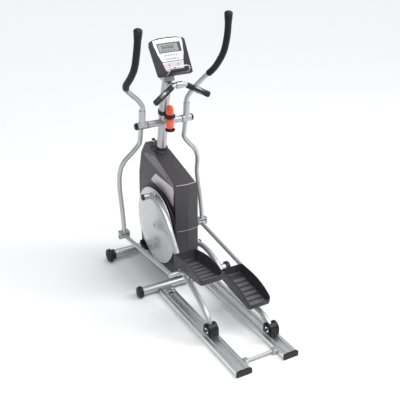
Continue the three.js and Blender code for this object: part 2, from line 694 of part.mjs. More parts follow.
function consoleHousing() {
  const halfW = CONSOLE_W / 2;
  const halfH = CONSOLE_H / 2;
  const outline = [
    [-halfW + 8, -halfH], [halfW - 8, -halfH], [halfW - 2, -halfH + 8], [halfW, halfH - 14], [halfW - 6, halfH - 5],
    [halfW / 2, halfH + 1], [0, halfH + 3], [-halfW / 2, halfH + 1], [-halfW + 6, halfH - 5], [-halfW, halfH - 14],
    [-halfW + 2, -halfH + 8],
  ];
  const body = plate(outline, -CONSOLE_D, 0);
  const ledge = box(-54, 54, -halfH, -halfH + 6, -6, 46);
  const lip = box(-54, 54, -halfH, -halfH + 18, 42, 46);
  const recess = plate(FACE_OUTLINE, -FACE_DEPTH - GAP, 5);
  const pocket = box(-LCD.x - 2, LCD.x + 2, LCD.y0 - 2, LCD.y1 + 2, -FACE_DEPTH - 5, 5);
  const wells = Object.values(BUTTONS).map((b) => round(b, RUN, -16, 5));
  const grown = (p) => [p[0] * 1.008, p[1] * 1.008];
  const wideRecess = plate(FACE_OUTLINE.map(grown), -FACE_DEPTH - GAP, 5);
  return tilted(cut(join(body, ledge, lip), recess, wideRecess, pocket, ...wells));
}

function consoleFace() {
  const sheet = plate(FACE_OUTLINE, -FACE_DEPTH, 0.6);
  const window = box(-LCD.x, LCD.x, LCD.y0, LCD.y1, -20, 20);
  const holes = Object.values(BUTTONS).map((b) => round(b, RUN, -20, 20));
  return tilted(cut(sheet, window, ...holes));
}

const consoleLcd = () => consoleSolid(
  -LCD.x + GAP, LCD.x - GAP, LCD.y0 + GAP, LCD.y1 - GAP, -FACE_DEPTH - 4, -1,
);

function consoleButton(b) {
  return tilted(round(b, 0, -16 + BUTTON_TRAVEL + GAP, 0.6 + BUTTON_TRAVEL + 0.6));
}

function rackWire() {
  const low = -CONSOLE_H / 2 + 10;
  return tilted(sweep([
    [-60, low, 1], [-60, low + 1, 30], [-58, low + 4, 50], [-50, low + 6, 56], [0, low + 6, 56],
    [50, low + 6, 56], [58, low + 4, 50], [60, low + 1, 30], [60, low, 1],
  ], 2.5, 18, 6));
}

add('console_housing', consoleHousing(), ...BLACK);
add('console_face', consoleFace(), 0xc9cbcf, 0.4, 0.3);
add('console_lcd', consoleLcd(), 0x4d5a55, 0.2, 0);
add('rack_wire', rackWire(), 0xdfe1e3, 0.25, 0.8);
for (const [name, b] of Object.entries(BUTTONS)) {
  add(name, consoleButton(b), name === 'button_start' ? 0x7c1f26 : 0xa7a9ad, 0.5, 0);
}

// ---------------------------------------------------------------- legs and rollers

// The leg's bent tube in its own line: [along from the roller axle, above the line to the crank pin].
const LEG_CURVE = [
  [6, 2], [46, 20], [100, 30], [165, 24], [240, 12], [300, -3], [355, -16], [410, -17], [470, -1], [540, 24],
  [620, 52], [700, 65], [780, 59], [850, 30], [LEG_LENGTH - 4, 3],
];
const BARREL_OUT = 190;

function leg(side) {
  const { pin, roller, q, inLeg } = linkage(side);
  const x = side * LEG_X;
  const tube = sweep(LEG_CURVE.map(([s, h]) => [x, ...inLeg(s, h)]), LEG_R, 16, 10);
  const inner = LEG_X - LEG_R;
  const outer = LEG_X + LEG_R;
  const web = slab([inLeg(Q_ALONG - 46, 2), inLeg(Q_ALONG + 58, -8), inLeg(Q_ALONG + 12, Q_ABOVE + 8),
    inLeg(Q_ALONG - 12, Q_ABOVE + 8)], x - 6, x + 6);
  return cut(
    join(
      tube, web, bar(side, inner, BARREL_OUT, pin.y, pin.z, LEG_BARREL_R),
      bar(side, inner, outer, q.y, q.z, Q_BOSS_R), bar(side, inner, outer, roller.y, roller.z, Q_BOSS_R),
    ),
    bar(side, inner - 2, BARREL_OUT + 2, pin.y, pin.z, PIN_R + RUN),
    bar(side, inner - 2, outer + 2, q.y, q.z, Q_PIN_R + RUN),
    bar(side, inner - 2, outer + 2, roller.y, roller.z, PIN_R + RUN),
  );
}

function crankPin(side) {
  const { pin } = linkage(side);
  const cap = LEG_BARREL_R + 3;
  return turned(side, [
    [LEG_X - LEG_R + 0.5, 0], [LEG_X - LEG_R + 0.5, PIN_R], [BARREL_OUT + GAP, PIN_R], [BARREL_OUT + GAP, cap],
    [BARREL_OUT + 8, cap], [BARREL_OUT + 11, cap - 5], [BARREL_OUT + 11, 0],
  ], pin.y, pin.z, 16);
}

const ROLLER_HALF = 26.5;
const ROLLER_WAIST = 17.4;
const COVER_HALF = 39;             // from the roller's axle to the cover's front and rear
const STUB_R = 5;

function roller(side) {
  const at = linkage(side).roller;
  const r = ROLLER_R;
  const profile = [
    [-ROLLER_HALF + 5, 0], [-ROLLER_HALF + 5, STUB_R + RUN], [-ROLLER_HALF, STUB_R + RUN], [-ROLLER_HALF, r - 2],
    [-ROLLER_HALF + 2, r], [-ROLLER_WAIST - 2, r], [-ROLLER_WAIST, r - 2], [-ROLLER_WAIST, PIN_R],
    [ROLLER_WAIST, PIN_R], [ROLLER_WAIST, r - 2], [ROLLER_WAIST + 2, r], [ROLLER_HALF - 2, r],
    [ROLLER_HALF, r - 2], [ROLLER_HALF, STUB_R + RUN], [ROLLER_HALF - 5, STUB_R + RUN], [ROLLER_HALF - 5, 0],
  ];
  return turned(side, profile.map(([x, radius]) => [LEG_X + x, radius]), at.y, at.z, 16);
}

function rollerCover(side) {
  const at = linkage(side).roller;
  const half = COVER_HALF;
  const low = 44;
  const spring = ROLLER_Z + 3;
  const arch = (reach, bottom) => {
    const shape = new THREE.Shape();
    shape.moveTo(at.y - reach, bottom);
    shape.lineTo(at.y + reach, bottom);
    shape.lineTo(at.y + reach, spring);
    shape.absarc(at.y, spring, reach, 0, Math.PI);
    shape.lineTo(at.y - reach, bottom);
    return shape;
  };
  const x = side * LEG_X;
  const wall = 3;
  const outer = ROLLER_HALF + 6;
  const shell = cut(
    slab(arch(half, low), x - outer, x + outer),
    slab(arch(half - wall, low - 10), x - outer + wall, x + outer - wall),
    box(x - LEG_R - 2, x + LEG_R + 2, at.y - 6, at.y + half + 10, low - 10, ROLLER_Z + half + 20),
  );
  const stub = (s) => bar(1, x + s * (outer - 1), x + s * (ROLLER_HALF - 4), at.y, at.z, STUB_R, 10);
  return join(shell, stub(-1), stub(1));
}

for (const side of [-1, 1]) {
  add(`leg_${sideName(side)}`, leg(side), ...SILVER);
  add(`crank_pin_${sideName(side)}`, crankPin(side), ...BLACK);
  add(`roller_${sideName(side)}`, roller(side), 0x232326, 0.7, 0);
  add(`roller_cover_${sideName(side)}`, rollerCover(side), ...BLACK);
}

// ---------------------------------------------------------------- pedal arms

const CHEEK_T = 5.7;
const FORK_HALF = 26.3;           // inside the fork, either side of the arm's plane

function pedalLink(side) {
  const { q, joint, inLink } = linkage(side);
  const x = side * LINK_X;
  const tube = rod([x, q.y, q.z], [x, joint.y, joint.z], LINK_R, 14);
  const cross = bar(side, LEG_X + LEG_R + RUN, LINK_X + 16, q.y, q.z, 14);
  const pin = bar(side, LEG_X - LEG_R, LEG_X + LEG_R + 4, q.y, q.z, Q_PIN_R, 14);
  const barrel = bar(side, ARM_X - FORK_HALF + RUN, ARM_X + FORK_HALF - RUN, joint.y, joint.z, JOINT_BARREL_R);
  const under = PEDAL_FLOOR - GAP - 4;
  const top = PEDAL_FLOOR - GAP;
  const deck = slab(
    [inLink(60, under), inLink(60, top), inLink(-200, top), inLink(-200, under)].reverse(),
    side * (PEDAL_X - 55), side * (PEDAL_X + 62),
  );
  const rib = slab(
    [inLink(30, 0), inLink(30, top - 1), inLink(-60, top - 1), inLink(-20, 0)].reverse(),
    side * (LEG_X + LEG_R + 4), side * (PEDAL_X + 62),
  );
  return join(tube, cross, pin, barrel, deck, rib);
}

function pedal(side) {
  const { inLink } = linkage(side);
  const front = PEDAL_AHEAD;
  const rear = PEDAL_AHEAD - PEDAL_L;
  const low = PEDAL_FLOOR;
  const floor = low + 6;
  const outline = [
    [rear + 6, low], [front - 14, low], [front, low + 16], [front, 74], [front - 8, 84], [front - 81, 93],
    [front - 160, 98], [front - 250, 86], [rear + 16, 66], [rear, 48], [rear, low + 8],
  ];
  const wall = PEDAL_WALL;
  const hollow = [[rear + wall, floor], [front - 18, floor], [front - wall - 1, floor + 14],
    [front - wall - 1, 100], [rear + wall, 100]];
  const place = (points) => points.map(([u, v]) => inLink(u, v));
  const mid = side * PEDAL_X;
  const half = PEDAL_W / 2;
  const tray = slab(place(outline), mid - half, mid + half);
  const ribs = [];
  for (let i = 0; i < PEDAL_RIBS; i += 1) {
    const u = rear + 45 + ((PEDAL_L - 100) * i) / (PEDAL_RIBS - 1);
    ribs.push(slab(place([[u, low + 3], [u + 8, low + 3], [u + 8, floor + 3], [u, floor + 3]]),
      mid - half + 12, mid + half - 12));
  }
  return join(cut(tray, slab(place(hollow), mid - half + wall, mid + half - wall)), ...ribs);
}

for (const side of [-1, 1]) {
  add(`pedal_link_${sideName(side)}`, pedalLink(side), ...SILVER);
  add(`pedal_${sideName(side)}`, pedal(side), 0x2f2f32, 0.7, 0);
}

// ---------------------------------------------------------------- swing arms and moving handlebars

// Points of the arm and the bar above it: [outward, forward, up] from the pivot, in the arm's own line.
const LOWER_CURVE = [
  [PIVOT_ARM_X, 6, -8], [PIVOT_ARM_X, 19, -70], [148, 30, -128], [186, 38, -182], [236, 49, -240],
  [258, 58, -300], [ARM_X, 69, -396], [ARM_X, 52, -480], [ARM_X, 32, -545], [ARM_X, 5, -660],
  [ARM_X, 0, -ARM_LENGTH + 31],
];
const UPPER_CURVE = [
  [PIVOT_ARM_X + 1, -5, SOCKET_TOP - SOCKET_DEPTH + 3], [PIVOT_ARM_X + 1.5, -6, SOCKET_TOP - 18],
  [PIVOT_ARM_X + 2, -7, SOCKET_TOP + 4], [176, -12, 166], [222, -19, 212], [262, -34, 254],
  [282, -80, 300], [285, -140, 362], [286, -194, 438], [287, -222, 530],
  [286, -231, 600], [285, -233, 652],
];
const GRIP_PAST = 0.17;           // the grip runs on past the bar's end, as a share of the last stretch
const GRIP_START = 5;             // index in UPPER_CURVE where the grip begins

function armPoints(side, curve) {
  const { inArm } = linkage(side);
  return curve.map(([out, forward, up]) => [side * out, ...inArm(forward, up)]);
}

function lowerArm(side) {
  const { joint, inArm } = linkage(side);
  const sleeve = bar(side, SLEEVE_IN, SLEEVE_OUT, PIVOT_Y, PIVOT_Z, SLEEVE_R);
  const tube = sweep(armPoints(side, LOWER_CURVE), ARM_R, 16, 10);
  const [low, top, floor] = armPoints(side, [
    [PIVOT_ARM_X, 0, 6], [PIVOT_ARM_X + 2, -7, SOCKET_TOP], [PIVOT_ARM_X + 1, -5, SOCKET_TOP - SOCKET_DEPTH],
  ]);
  const past = armPoints(side, [[PIVOT_ARM_X + 2.2, -7.6, SOCKET_TOP + 8]])[0];
  const socket = rod(low, top, SOCKET_R, 16);
  const forkTop = -ARM_LENGTH + 34;
  const forkUnder = -ARM_LENGTH + 28;
  const out = FORK_HALF + CHEEK_T;
  const yoke = slab(
    [inArm(-20, forkUnder), inArm(20, forkUnder), inArm(20, forkTop), inArm(-20, forkTop)],
    side * (ARM_X - out), side * (ARM_X + out),
  );
  const cheek = (s) => {
    const x0 = side * (ARM_X + s * FORK_HALF);
    const x1 = side * (ARM_X + s * out);
    const upper = slab(
      [inArm(-18, -ARM_LENGTH), inArm(18, -ARM_LENGTH), inArm(18, forkTop), inArm(-18, forkTop)], x0, x1,
    );
    return join(upper, rod([x0, joint.y, joint.z], [x1, joint.y, joint.z], 18, 16));
  };
  return cut(
    join(sleeve, tube, socket, yoke, cheek(-1), cheek(1)),
    rod(floor, past, BAR_R + SOCKET_PLAY, 16),
    bar(side, SLEEVE_IN - 2, SLEEVE_OUT + 2, PIVOT_Y, PIVOT_Z, PIVOT_AXLE_R + RUN),
  );
}

function movingHandlebar(side) {
  return sweep(armPoints(side, UPPER_CURVE), BAR_R, 16, 8);
}

function barGrip(side) {
  const points = armPoints(side, UPPER_CURVE);
  const held = points.slice(GRIP_START);
  const [before, end] = points.slice(-2);
  const beyond = (share) => end.map((v, i) => v + (v - before[i]) * share);
  const past = beyond(GRIP_PAST);
  const sleeve = sweep([...held, past], GRIP_R, 8, 10);
  const knob = new THREE.SphereGeometry(25, 12, 6);
  knob.scale(1, 1, 0.62);
  knob.translate(...past);
  return cut(
    join(sleeve, solid(knob)),
    sweep(points, BAR_R + RUN, 16, 8),
    rod(beyond(-GRIP_PAST / 2), beyond(GRIP_PAST / 4), BAR_R + RUN, 16),
  );
}

function pivotCap(side) {
  const inner = SLEEVE_OUT + 0.5;
  return turned(side, [
    [inner, 0], [inner, SLEEVE_R - 1], [inner + 8, SLEEVE_R - 1], [inner + 11, SLEEVE_R - 6], [inner + 11, 0],
  ], PIVOT_Y, PIVOT_Z, 18);
}

for (const side of [-1, 1]) {
  add(`lower_arm_${sideName(side)}`, lowerArm(side), ...SILVER);
  add(`moving_handlebar_${sideName(side)}`, movingHandlebar(side), ...SILVER);
  add(`moving_grip_${sideName(side)}`, barGrip(side), 0x262628, 0.85, 0);
  add(`pivot_cap_${sideName(side)}`, pivotCap(side), ...BLACK);
}

export default trainer;
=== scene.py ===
"""Looks of an elliptical trainer: tubes, moulded shells, foam grips, pedals, console and bottle."""

import json
import math

import bmesh
import bpy
from bpy.props import (
    FloatProperty, FloatVectorProperty, IntProperty, PointerProperty,
)
from mathutils import Matrix, Vector
from mathutils.geometry import tessellate_polygon


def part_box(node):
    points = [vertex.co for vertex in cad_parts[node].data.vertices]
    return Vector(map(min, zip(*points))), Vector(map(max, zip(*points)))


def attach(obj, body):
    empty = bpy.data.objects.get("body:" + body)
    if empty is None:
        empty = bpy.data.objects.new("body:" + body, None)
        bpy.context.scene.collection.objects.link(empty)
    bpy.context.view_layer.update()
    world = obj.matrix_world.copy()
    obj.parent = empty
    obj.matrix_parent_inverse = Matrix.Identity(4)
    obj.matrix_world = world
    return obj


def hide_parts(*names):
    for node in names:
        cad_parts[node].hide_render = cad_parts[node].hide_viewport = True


bl_info = {
    "name": "Elliptical Trainer",
    "version": (1, 0, 0),
    "blender": (4, 5, 0),
    "location": "3D Viewport > Sidebar > Trainer",
    "description": "Builds the surfaces, materials and studio of an elliptical trainer",
    "category": "Object",
}

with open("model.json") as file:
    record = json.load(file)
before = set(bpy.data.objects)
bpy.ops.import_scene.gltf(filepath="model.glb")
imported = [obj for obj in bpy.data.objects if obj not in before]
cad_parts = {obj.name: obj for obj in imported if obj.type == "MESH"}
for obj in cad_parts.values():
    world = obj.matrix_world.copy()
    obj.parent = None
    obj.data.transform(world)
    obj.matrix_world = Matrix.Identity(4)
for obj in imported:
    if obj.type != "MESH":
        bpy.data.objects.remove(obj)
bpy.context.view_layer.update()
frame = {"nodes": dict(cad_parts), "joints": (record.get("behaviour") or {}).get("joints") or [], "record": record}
NODES = frame["nodes"]
JOINTS = {joint["name"]: joint for joint in frame["joints"]}
SIDES = {"left": -1, "right": 1}


def middle(node):
    """Middle of a CAD node's box."""
    low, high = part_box(node)
    return (Vector(low) + Vector(high)) / 2


# ---------------------------------------------------------------- sizes taken from the frame

LEG_X = abs(JOINTS["right_leg_pitch"]["pos_m"][0])
PIVOT = Vector(JOINTS["right_arm_swing"]["pos_m"])
CRANK = Vector(JOINTS["crank_spin"]["pos_m"])
LINK_LENGTH = 0.649
ARM_LENGTH = 0.7408
LINK_X = 0.256
ARM_X = 0.261
MAST_TUBE_R = 0.029
MAST_SLOPE = 0.186


class Linkage:
    """The three moving bars of one side at rest, and the directions they lie in."""

    def __init__(self, name):
        self.name = name
        self.side = SIDES[name]
        self.pin = middle(f"crank_pin_{name}")
        self.roller = Vector(JOINTS[f"{name}_leg_pitch"]["pos_m"])
        self.pedal_pivot = Vector(JOINTS[f"{name}_pedal_pitch"]["pos_m"])
        self.leg_dir = (self.pin - self.roller).yz.normalized()
        to_pivot = PIVOT.yz - self.pedal_pivot.yz
        reach = to_pivot.length
        base = (LINK_LENGTH ** 2 - ARM_LENGTH ** 2 + reach ** 2) / (2 * reach)
        off = math.sqrt(LINK_LENGTH ** 2 - base ** 2)
        along = to_pivot / reach
        self.joint = self.pedal_pivot.yz + along * base + Vector((along.y, -along.x)) * off
        self.link_dir = (self.joint - self.pedal_pivot.yz).normalized()
        self.arm_dir = (self.joint - PIVOT.yz).normalized()

    def in_leg(self, out, along, above):
        flat = self.roller.yz + self.leg_dir * along + Vector((-self.leg_dir.y, self.leg_dir.x)) * above
        return Vector((self.side * out, *flat))

    def in_link(self, out, along, above):
        up = Vector((-self.link_dir.y, self.link_dir.x))
        flat = self.pedal_pivot.yz + self.link_dir * along + up * above
        return Vector((self.side * out, *flat))

    def in_arm(self, out, forward, up):
        ahead = Vector((-self.arm_dir.y, self.arm_dir.x))
        flat = PIVOT.yz + ahead * forward - self.arm_dir * up
        return Vector((self.side * out, *flat))


LINKAGES = [Linkage(name) for name in SIDES]


# ---------------------------------------------------------------- mesh building

def finish_mesh(name, bm, finish, body, replaces=(), bevel=0.0, segments=2, sharp=32.0):
    """Turns a bmesh into a smooth-shaded piece in one finish, riding a body and standing for CAD nodes."""
    bmesh.ops.remove_doubles(bm, verts=bm.verts, dist=1e-6)
    bmesh.ops.recalc_face_normals(bm, faces=bm.faces)
    name = name.lower().replace(" ", "_")
    mesh = bpy.data.meshes.new(name)
    bm.to_mesh(mesh)
    bm.free()
    mesh.shade_smooth()
    piece = bpy.data.objects.new(name, mesh)
    bpy.context.scene.collection.objects.link(piece)
    if bevel:
        soften(piece, bevel, segments, sharp)
    else:
        mesh.set_sharp_from_angle(angle=math.radians(sharp))
    mesh.materials.append(MATERIALS[finish])
    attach(piece, body)
    if replaces:
        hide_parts(*replaces)
    return piece


def soften(piece, width, segments=2, angle=32.0):
    """Rounds an object's sharp edges and keeps its flat faces flat."""
    rounding = piece.modifiers.new("Rounded edges", "BEVEL")
    rounding.width = width
    rounding.segments = segments
    rounding.limit_method = "ANGLE"
    rounding.angle_limit = math.radians(angle)
    rounding.harden_normals = True


def spline(points, steps):
    """Evenly divided centripetal curve through the points."""
    pts = [Vector(p) for p in points]
    pts = [pts[0] * 2 - pts[1]] + pts + [pts[-1] * 2 - pts[-2]]
    dense = []
    for p0, p1, p2, p3 in zip(pts, pts[1:], pts[2:], pts[3:]):
        t1 = max((p1 - p0).length ** 0.5, 1e-4)
        t2 = t1 + max((p2 - p1).length ** 0.5, 1e-4)
        t3 = t2 + max((p3 - p2).length ** 0.5, 1e-4)
        for k in range(24):
            t = t1 + (t2 - t1) * k / 24
            a1 = p0.lerp(p1, t / t1)
            a2 = p1.lerp(p2, (t - t1) / (t2 - t1))
            a3 = p2.lerp(p3, (t - t2) / (t3 - t2))
            b1 = a1.lerp(a2, t / t2)
            b2 = a2.lerp(a3, (t - t1) / (t3 - t1))
            dense.append(b1.lerp(b2, (t - t1) / (t2 - t1)))
    dense.append(pts[-2])
    lengths = [0.0]
    for a, b in zip(dense, dense[1:]):
        lengths.append(lengths[-1] + (b - a).length)
    even, i = [], 0
    for k in range(steps + 1):
        want = lengths[-1] * k / steps
        while i < len(dense) - 2 and lengths[i + 1] < want:
            i += 1
        share = (want - lengths[i]) / max(lengths[i + 1] - lengths[i], 1e-9)
        even.append(dense[i].lerp(dense[i + 1], share))
    return even


def add_tube(bm, path, radii, sides=32, squash=1.0, closed_ends=True):
    """Adds a round tube along a path; radii is one number or one for each point."""
    path = [Vector(p) for p in path]
    if not isinstance(radii, (list, tuple)):
        radii = [radii] * len(path)
    first = (path[1] - path[0]).normalized()
    across = first.orthogonal().normalized()
    rings = []
    before = first
    for i, (point, radius) in enumerate(zip(path, radii)):
        ahead = (path[min(i + 1, len(path) - 1)] - path[max(i - 1, 0)]).normalized()
        across = before.rotation_difference(ahead) @ across
        before = ahead
        other = ahead.cross(across)
        ring = []
        for k in range(sides):
            turn = 2 * math.pi * k / sides
            ring.append(
                bm.verts.new(point + (across * math.cos(turn) + other * (squash * math.sin(turn))) * radius)
            )
        rings.append(ring)
    for low, high in zip(rings, rings[1:]):
        for k in range(sides):
            bm.faces.new((low[k], low[(k + 1) % sides], high[(k + 1) % sides], high[k]))
    if closed_ends:
        bm.faces.new(reversed(rings[0]))
        bm.faces.new(rings[-1])


def add_turned(bm, origin, axis, profile, segments=72):
    """Adds a turned solid: profile is [distance along the axis, radius], from one end to the other."""
    axis = Vector(axis).normalized()
    across = axis.orthogonal().normalized()
    other = axis.cross(across)
    rings = []
    for along, radius in profile:
        centre = Vector(origin) + axis * along
        if radius < 1e-6:
            rings.append([bm.verts.new(centre)])
            continue
        rings.append([
            bm.verts.new(centre + (across * math.cos(t) + other * math.sin(t)) * radius)
            for t in (2 * math.pi * k / segments for k in range(segments))
        ])
    for a, b in zip(rings, rings[1:]):
        for k in range(segments):
            n = (k + 1) % segments
            corners = [a[0] if len(a) == 1 else a[k], a[0] if len(a) == 1 else a[n],
                       b[0] if len(b) == 1 else b[n], b[0] if len(b) == 1 else b[k]]
            unique = list(dict.fromkeys(corners))
            if len(unique) > 2:
                bm.faces.new(unique)


def add_prism(bm, outline, lift):
    """Adds a solid from a closed flat outline of 3-D points and the offset to its far face."""
    lift = Vector(lift)
    low = [bm.verts.new(Vector(p)) for p in outline]
    high = [bm.verts.new(Vector(p) + lift) for p in outline]
    count = len(outline)
    for tri in tessellate_polygon([[Vector(p) for p in outline]]):
        bm.faces.new([low[i] for i in tri])
        bm.faces.new([high[i] for i in reversed(tri)])
    for i in range(count):
        n = (i + 1) % count
        bm.faces.new((low[i], low[n], high[n], high[i]))
    bmesh.ops.dissolve_limit(
        bm, angle_limit=0.001, verts=[v for v in low + high],
        edges=list(dict.fromkeys(e for v in low + high for e in v.link_edges)),
    )


def add_box(bm, low, high):
    outline = [
        (low[0], low[1], low[2]), (high[0], low[1], low[2]), (high[0], high[1], low[2]),
        (low[0], high[1], low[2])
    ]
    add_prism(bm, outline, (0, 0, high[2] - low[2]))


def rounded(points, radius, steps=6):
    """A closed outline of [a, b] points with rounded corners; radius is one number or one for each corner."""
    count = len(points)
    radii = radius if isinstance(radius, (list, tuple)) else [radius] * count
    out = []
    for i, r in enumerate(radii):
        p = Vector(points[i])
        to_before = (Vector(points[i - 1]) - p)
        to_after = (Vector(points[(i + 1) % count]) - p)
        if r <= 0:
            out.append(p)
            continue
        half = to_before.angle(to_after) / 2
        back = min(r / math.tan(half), 0.49 * to_before.length, 0.49 * to_after.length)
        start = p + to_before.normalized() * back
        end = p + to_after.normalized() * back
        for k in range(steps + 1):
            t = k / steps
            out.append(start.lerp(p, t).lerp(p.lerp(end, t), t))
    return out


# ---------------------------------------------------------------- shader node groups

SURFACE_OUTPUTS = (
    ("Color", "NodeSocketColor"),
    ("Roughness", "NodeSocketFloat"),
    ("Height", "NodeSocketFloat"),
)


def new_group(name, inputs, outputs):
    group = bpy.data.node_groups.new(name, "ShaderNodeTree")
    for label, kind, default in inputs:
        socket = group.interface.new_socket(name=label, in_out="INPUT", socket_type=kind)
        socket.default_value = default
    for label, kind in outputs:
        group.interface.new_socket(name=label, in_out="OUTPUT", socket_type=kind)
    return group, group.nodes.new("NodeGroupInput"), group.nodes.new("NodeGroupOutput")


def math_node(tree, operation, a, b=None, clamp=False):
    node = tree.nodes.new("ShaderNodeMath")
    node.operation = operation
    node.use_clamp = clamp
    for socket, value in zip(node.inputs, (a, b)):
        if value is None:
            continue
        if isinstance(value, (int, float)):
            socket.default_value = value
        else:
            tree.links.new(value, socket)
    return node.outputs[0]


def noise_node(tree, coordinates, scale, detail=3.0, roughness=0.55):
    node = tree.nodes.new("ShaderNodeTexNoise")
    node.inputs["Detail"].default_value = detail
    node.inputs["Roughness"].default_value = roughness
    if isinstance(scale, (int, float)):
        node.inputs["Scale"].default_value = scale
    else:
        tree.links.new(scale, node.inputs["Scale"])
    tree.links.new(coordinates, node.inputs["Vector"])
    return node.outputs["Fac"]


def multiplied(tree, color, brightness):
    """The colour times a brightness."""
    tint = tree.nodes.new("ShaderNodeMix")
    tint.data_type = "RGBA"
    tint.blend_type = "MULTIPLY"
    tint.inputs["Factor"].default_value = 1.0
    tree.links.new(color, tint.inputs["A"])
    tree.links.new(brightness, tint.inputs["B"])
    return tint.outputs["Result"]


def multiply_add(tree, value, factor, offset):
    """value * factor + offset, where factor and offset are numbers or sockets."""
    result = math_node(tree, "MULTIPLY_ADD", value, factor)
    if isinstance(offset, (int, float)):
        result.node.inputs[2].default_value = offset
    else:
        tree.links.new(offset, result.node.inputs[2])
    return result


def grain_group():
    """Moulded or sprayed surface: a fine grain, slow mottling and a light film of dust."""
    group, given, result = new_group("Surface grain", [
        ("Color", "NodeSocketColor", (0.5, 0.5, 0.5, 1)),
        ("Roughness", "NodeSocketFloat", 0.5),
        ("Grain size", "NodeSocketFloat", 900.0),
        ("Mottle", "NodeSocketFloat", 0.06),
        ("Dust", "NodeSocketFloat", 0.08),
    ], SURFACE_OUTPUTS)
    place = group.nodes.new("ShaderNodeTexCoord").outputs["Object"]
    fine = noise_node(group, place, given.outputs["Grain size"], 2.0)
    slow = noise_node(group, place, 9.0, 4.0)
    specks = noise_node(group, place, 55.0, 5.0, 0.7)
    centred = math_node(group, "SUBTRACT", slow, 0.5)
    brightness = multiply_add(group, centred, given.outputs["Mottle"], 1.0)
    tint = multiplied(group, given.outputs["Color"], brightness)
    above = math_node(group, "SUBTRACT", specks, 0.52, clamp=True)
    mask = math_node(
        group, "MULTIPLY", math_node(group, "MULTIPLY", above, 4.0, clamp=True), given.outputs["Dust"]
    )
    dusty = group.nodes.new("ShaderNodeMix")
    dusty.data_type = "RGBA"
    dusty.inputs["B"].default_value = (0.55, 0.53, 0.5, 1)
    group.links.new(mask, dusty.inputs["Factor"])
    group.links.new(tint, dusty.inputs["A"])
    group.links.new(dusty.outputs["Result"], result.inputs["Color"])
    rough = multiply_add(group, centred, 0.18, given.outputs["Roughness"])
    rougher = math_node(group, "ADD", rough, math_node(group, "MULTIPLY", mask, 0.6), clamp=True)
    group.links.new(rougher, result.inputs["Roughness"])
    group.links.new(fine, result.inputs["Height"])
    return group


def brushed_group():
    """Drawn metal: fine streaks along one axis, with a little tarnish."""
    group, given, result = new_group("Drawn streaks", [
        ("Color", "NodeSocketColor", (0.8, 0.8, 0.8, 1)),
        ("Roughness", "NodeSocketFloat", 0.3),
        ("Streaks", "NodeSocketVector", (220.0, 2.0, 220.0)),
        ("Contrast", "NodeSocketFloat", 0.2),
    ], SURFACE_OUTPUTS)
    place = group.nodes.new("ShaderNodeTexCoord").outputs["Object"]
    stretch = group.nodes.new("ShaderNodeVectorMath")
    stretch.operation = "MULTIPLY"
    group.links.new(place, stretch.inputs[0])
    group.links.new(given.outputs["Streaks"], stretch.inputs[1])
    lines = noise_node(group, stretch.outputs[0], 1.0, 4.0, 0.6)
    slow = noise_node(group, place, 5.0, 3.0)
    wave = math_node(
        group, "SUBTRACT", math_node(group, "ADD", lines, math_node(group, "MULTIPLY", slow, 0.6)), 0.8
    )
    brightness = multiply_add(group, wave, given.outputs["Contrast"], 1.0)
    group.links.new(multiplied(group, given.outputs["Color"], brightness), result.inputs["Color"])
    rough = multiply_add(group, wave, 0.25, given.outputs["Roughness"])
    group.links.new(rough, result.inputs["Roughness"])
    group.links.new(lines, result.inputs["Height"])
    return group


def foam_group():
    """Closed-cell foam sleeve: small pits and a soft, uneven sheen."""
    group, given, result = new_group("Foam cells", [
        ("Color", "NodeSocketColor", (0.03, 0.03, 0.03, 1)),
        ("Cell size", "NodeSocketFloat", 700.0),
    ], SURFACE_OUTPUTS)
    place = group.nodes.new("ShaderNodeTexCoord").outputs["Object"]
    cells = group.nodes.new("ShaderNodeTexVoronoi")
    group.links.new(place, cells.inputs["Vector"])
    group.links.new(given.outputs["Cell size"], cells.inputs["Scale"])
    slow = noise_node(group, place, 22.0, 4.0)
    brightness = multiply_add(group, slow, 0.6, 0.7)
    group.links.new(multiplied(group, given.outputs["Color"], brightness), result.inputs["Color"])
    group.links.new(multiply_add(group, slow, 0.2, 0.66), result.inputs["Roughness"])
    group.links.new(cells.outputs["Distance"], result.inputs["Height"])
    return group


GRAIN = grain_group()
BRUSHED = brushed_group()
FOAM = foam_group()


# ---------------------------------------------------------------- materials

def surface(name, group, values, bump, depth, **shader):
    """A material whose colour, roughness and height come from a group; constants sit on the shader."""
    material = bpy.data.materials.new(name)
    material.use_nodes = True
    tree = material.node_tree
    principled = tree.nodes["Principled BSDF"]
    effect = tree.nodes.new("ShaderNodeGroup")
    effect.node_tree = group
    for label, value in values.items():
        effect.inputs[label].default_value = value
    relief = tree.nodes.new("ShaderNodeBump")
    relief.inputs["Strength"].default_value = bump
    relief.inputs["Distance"].default_value = depth
    tree.links.new(effect.outputs["Color"], principled.inputs["Base Color"])
    tree.links.new(effect.outputs["Roughness"], principled.inputs["Roughness"])
    tree.links.new(effect.outputs["Height"], relief.inputs["Height"])
    tree.links.new(relief.outputs["Normal"], principled.inputs["Normal"])
    for label, value in shader.items():
        principled.inputs[label.replace("_", " ")].default_value = value
    return material


def rgba(color):
    return (*color, 1.0)


def plastic(name, color, roughness, size=900.0, bump=0.12, dust=0.05, **shader):
    values = {"Color": rgba(color), "Roughness": roughness, "Grain size": size, "Dust": dust}
    return surface(name, GRAIN, values, bump, 0.0004, **shader)


def paint(name, color, roughness, metallic, **shader):
    values = {
        "Color": rgba(color), "Roughness": roughness, "Grain size": 1500.0, "Mottle": 0.05, "Dust": 0.02
    }
    return surface(name, GRAIN, values, 0.06, 0.0002, Metallic=metallic, **shader)


def drawn_metal(name, color, roughness, streaks, contrast=0.2):
    values = {"Color": rgba(color), "Roughness": roughness, "Streaks": streaks, "Contrast": contrast}
    return surface(name, BRUSHED, values, 0.05, 0.0002, Metallic=1.0)


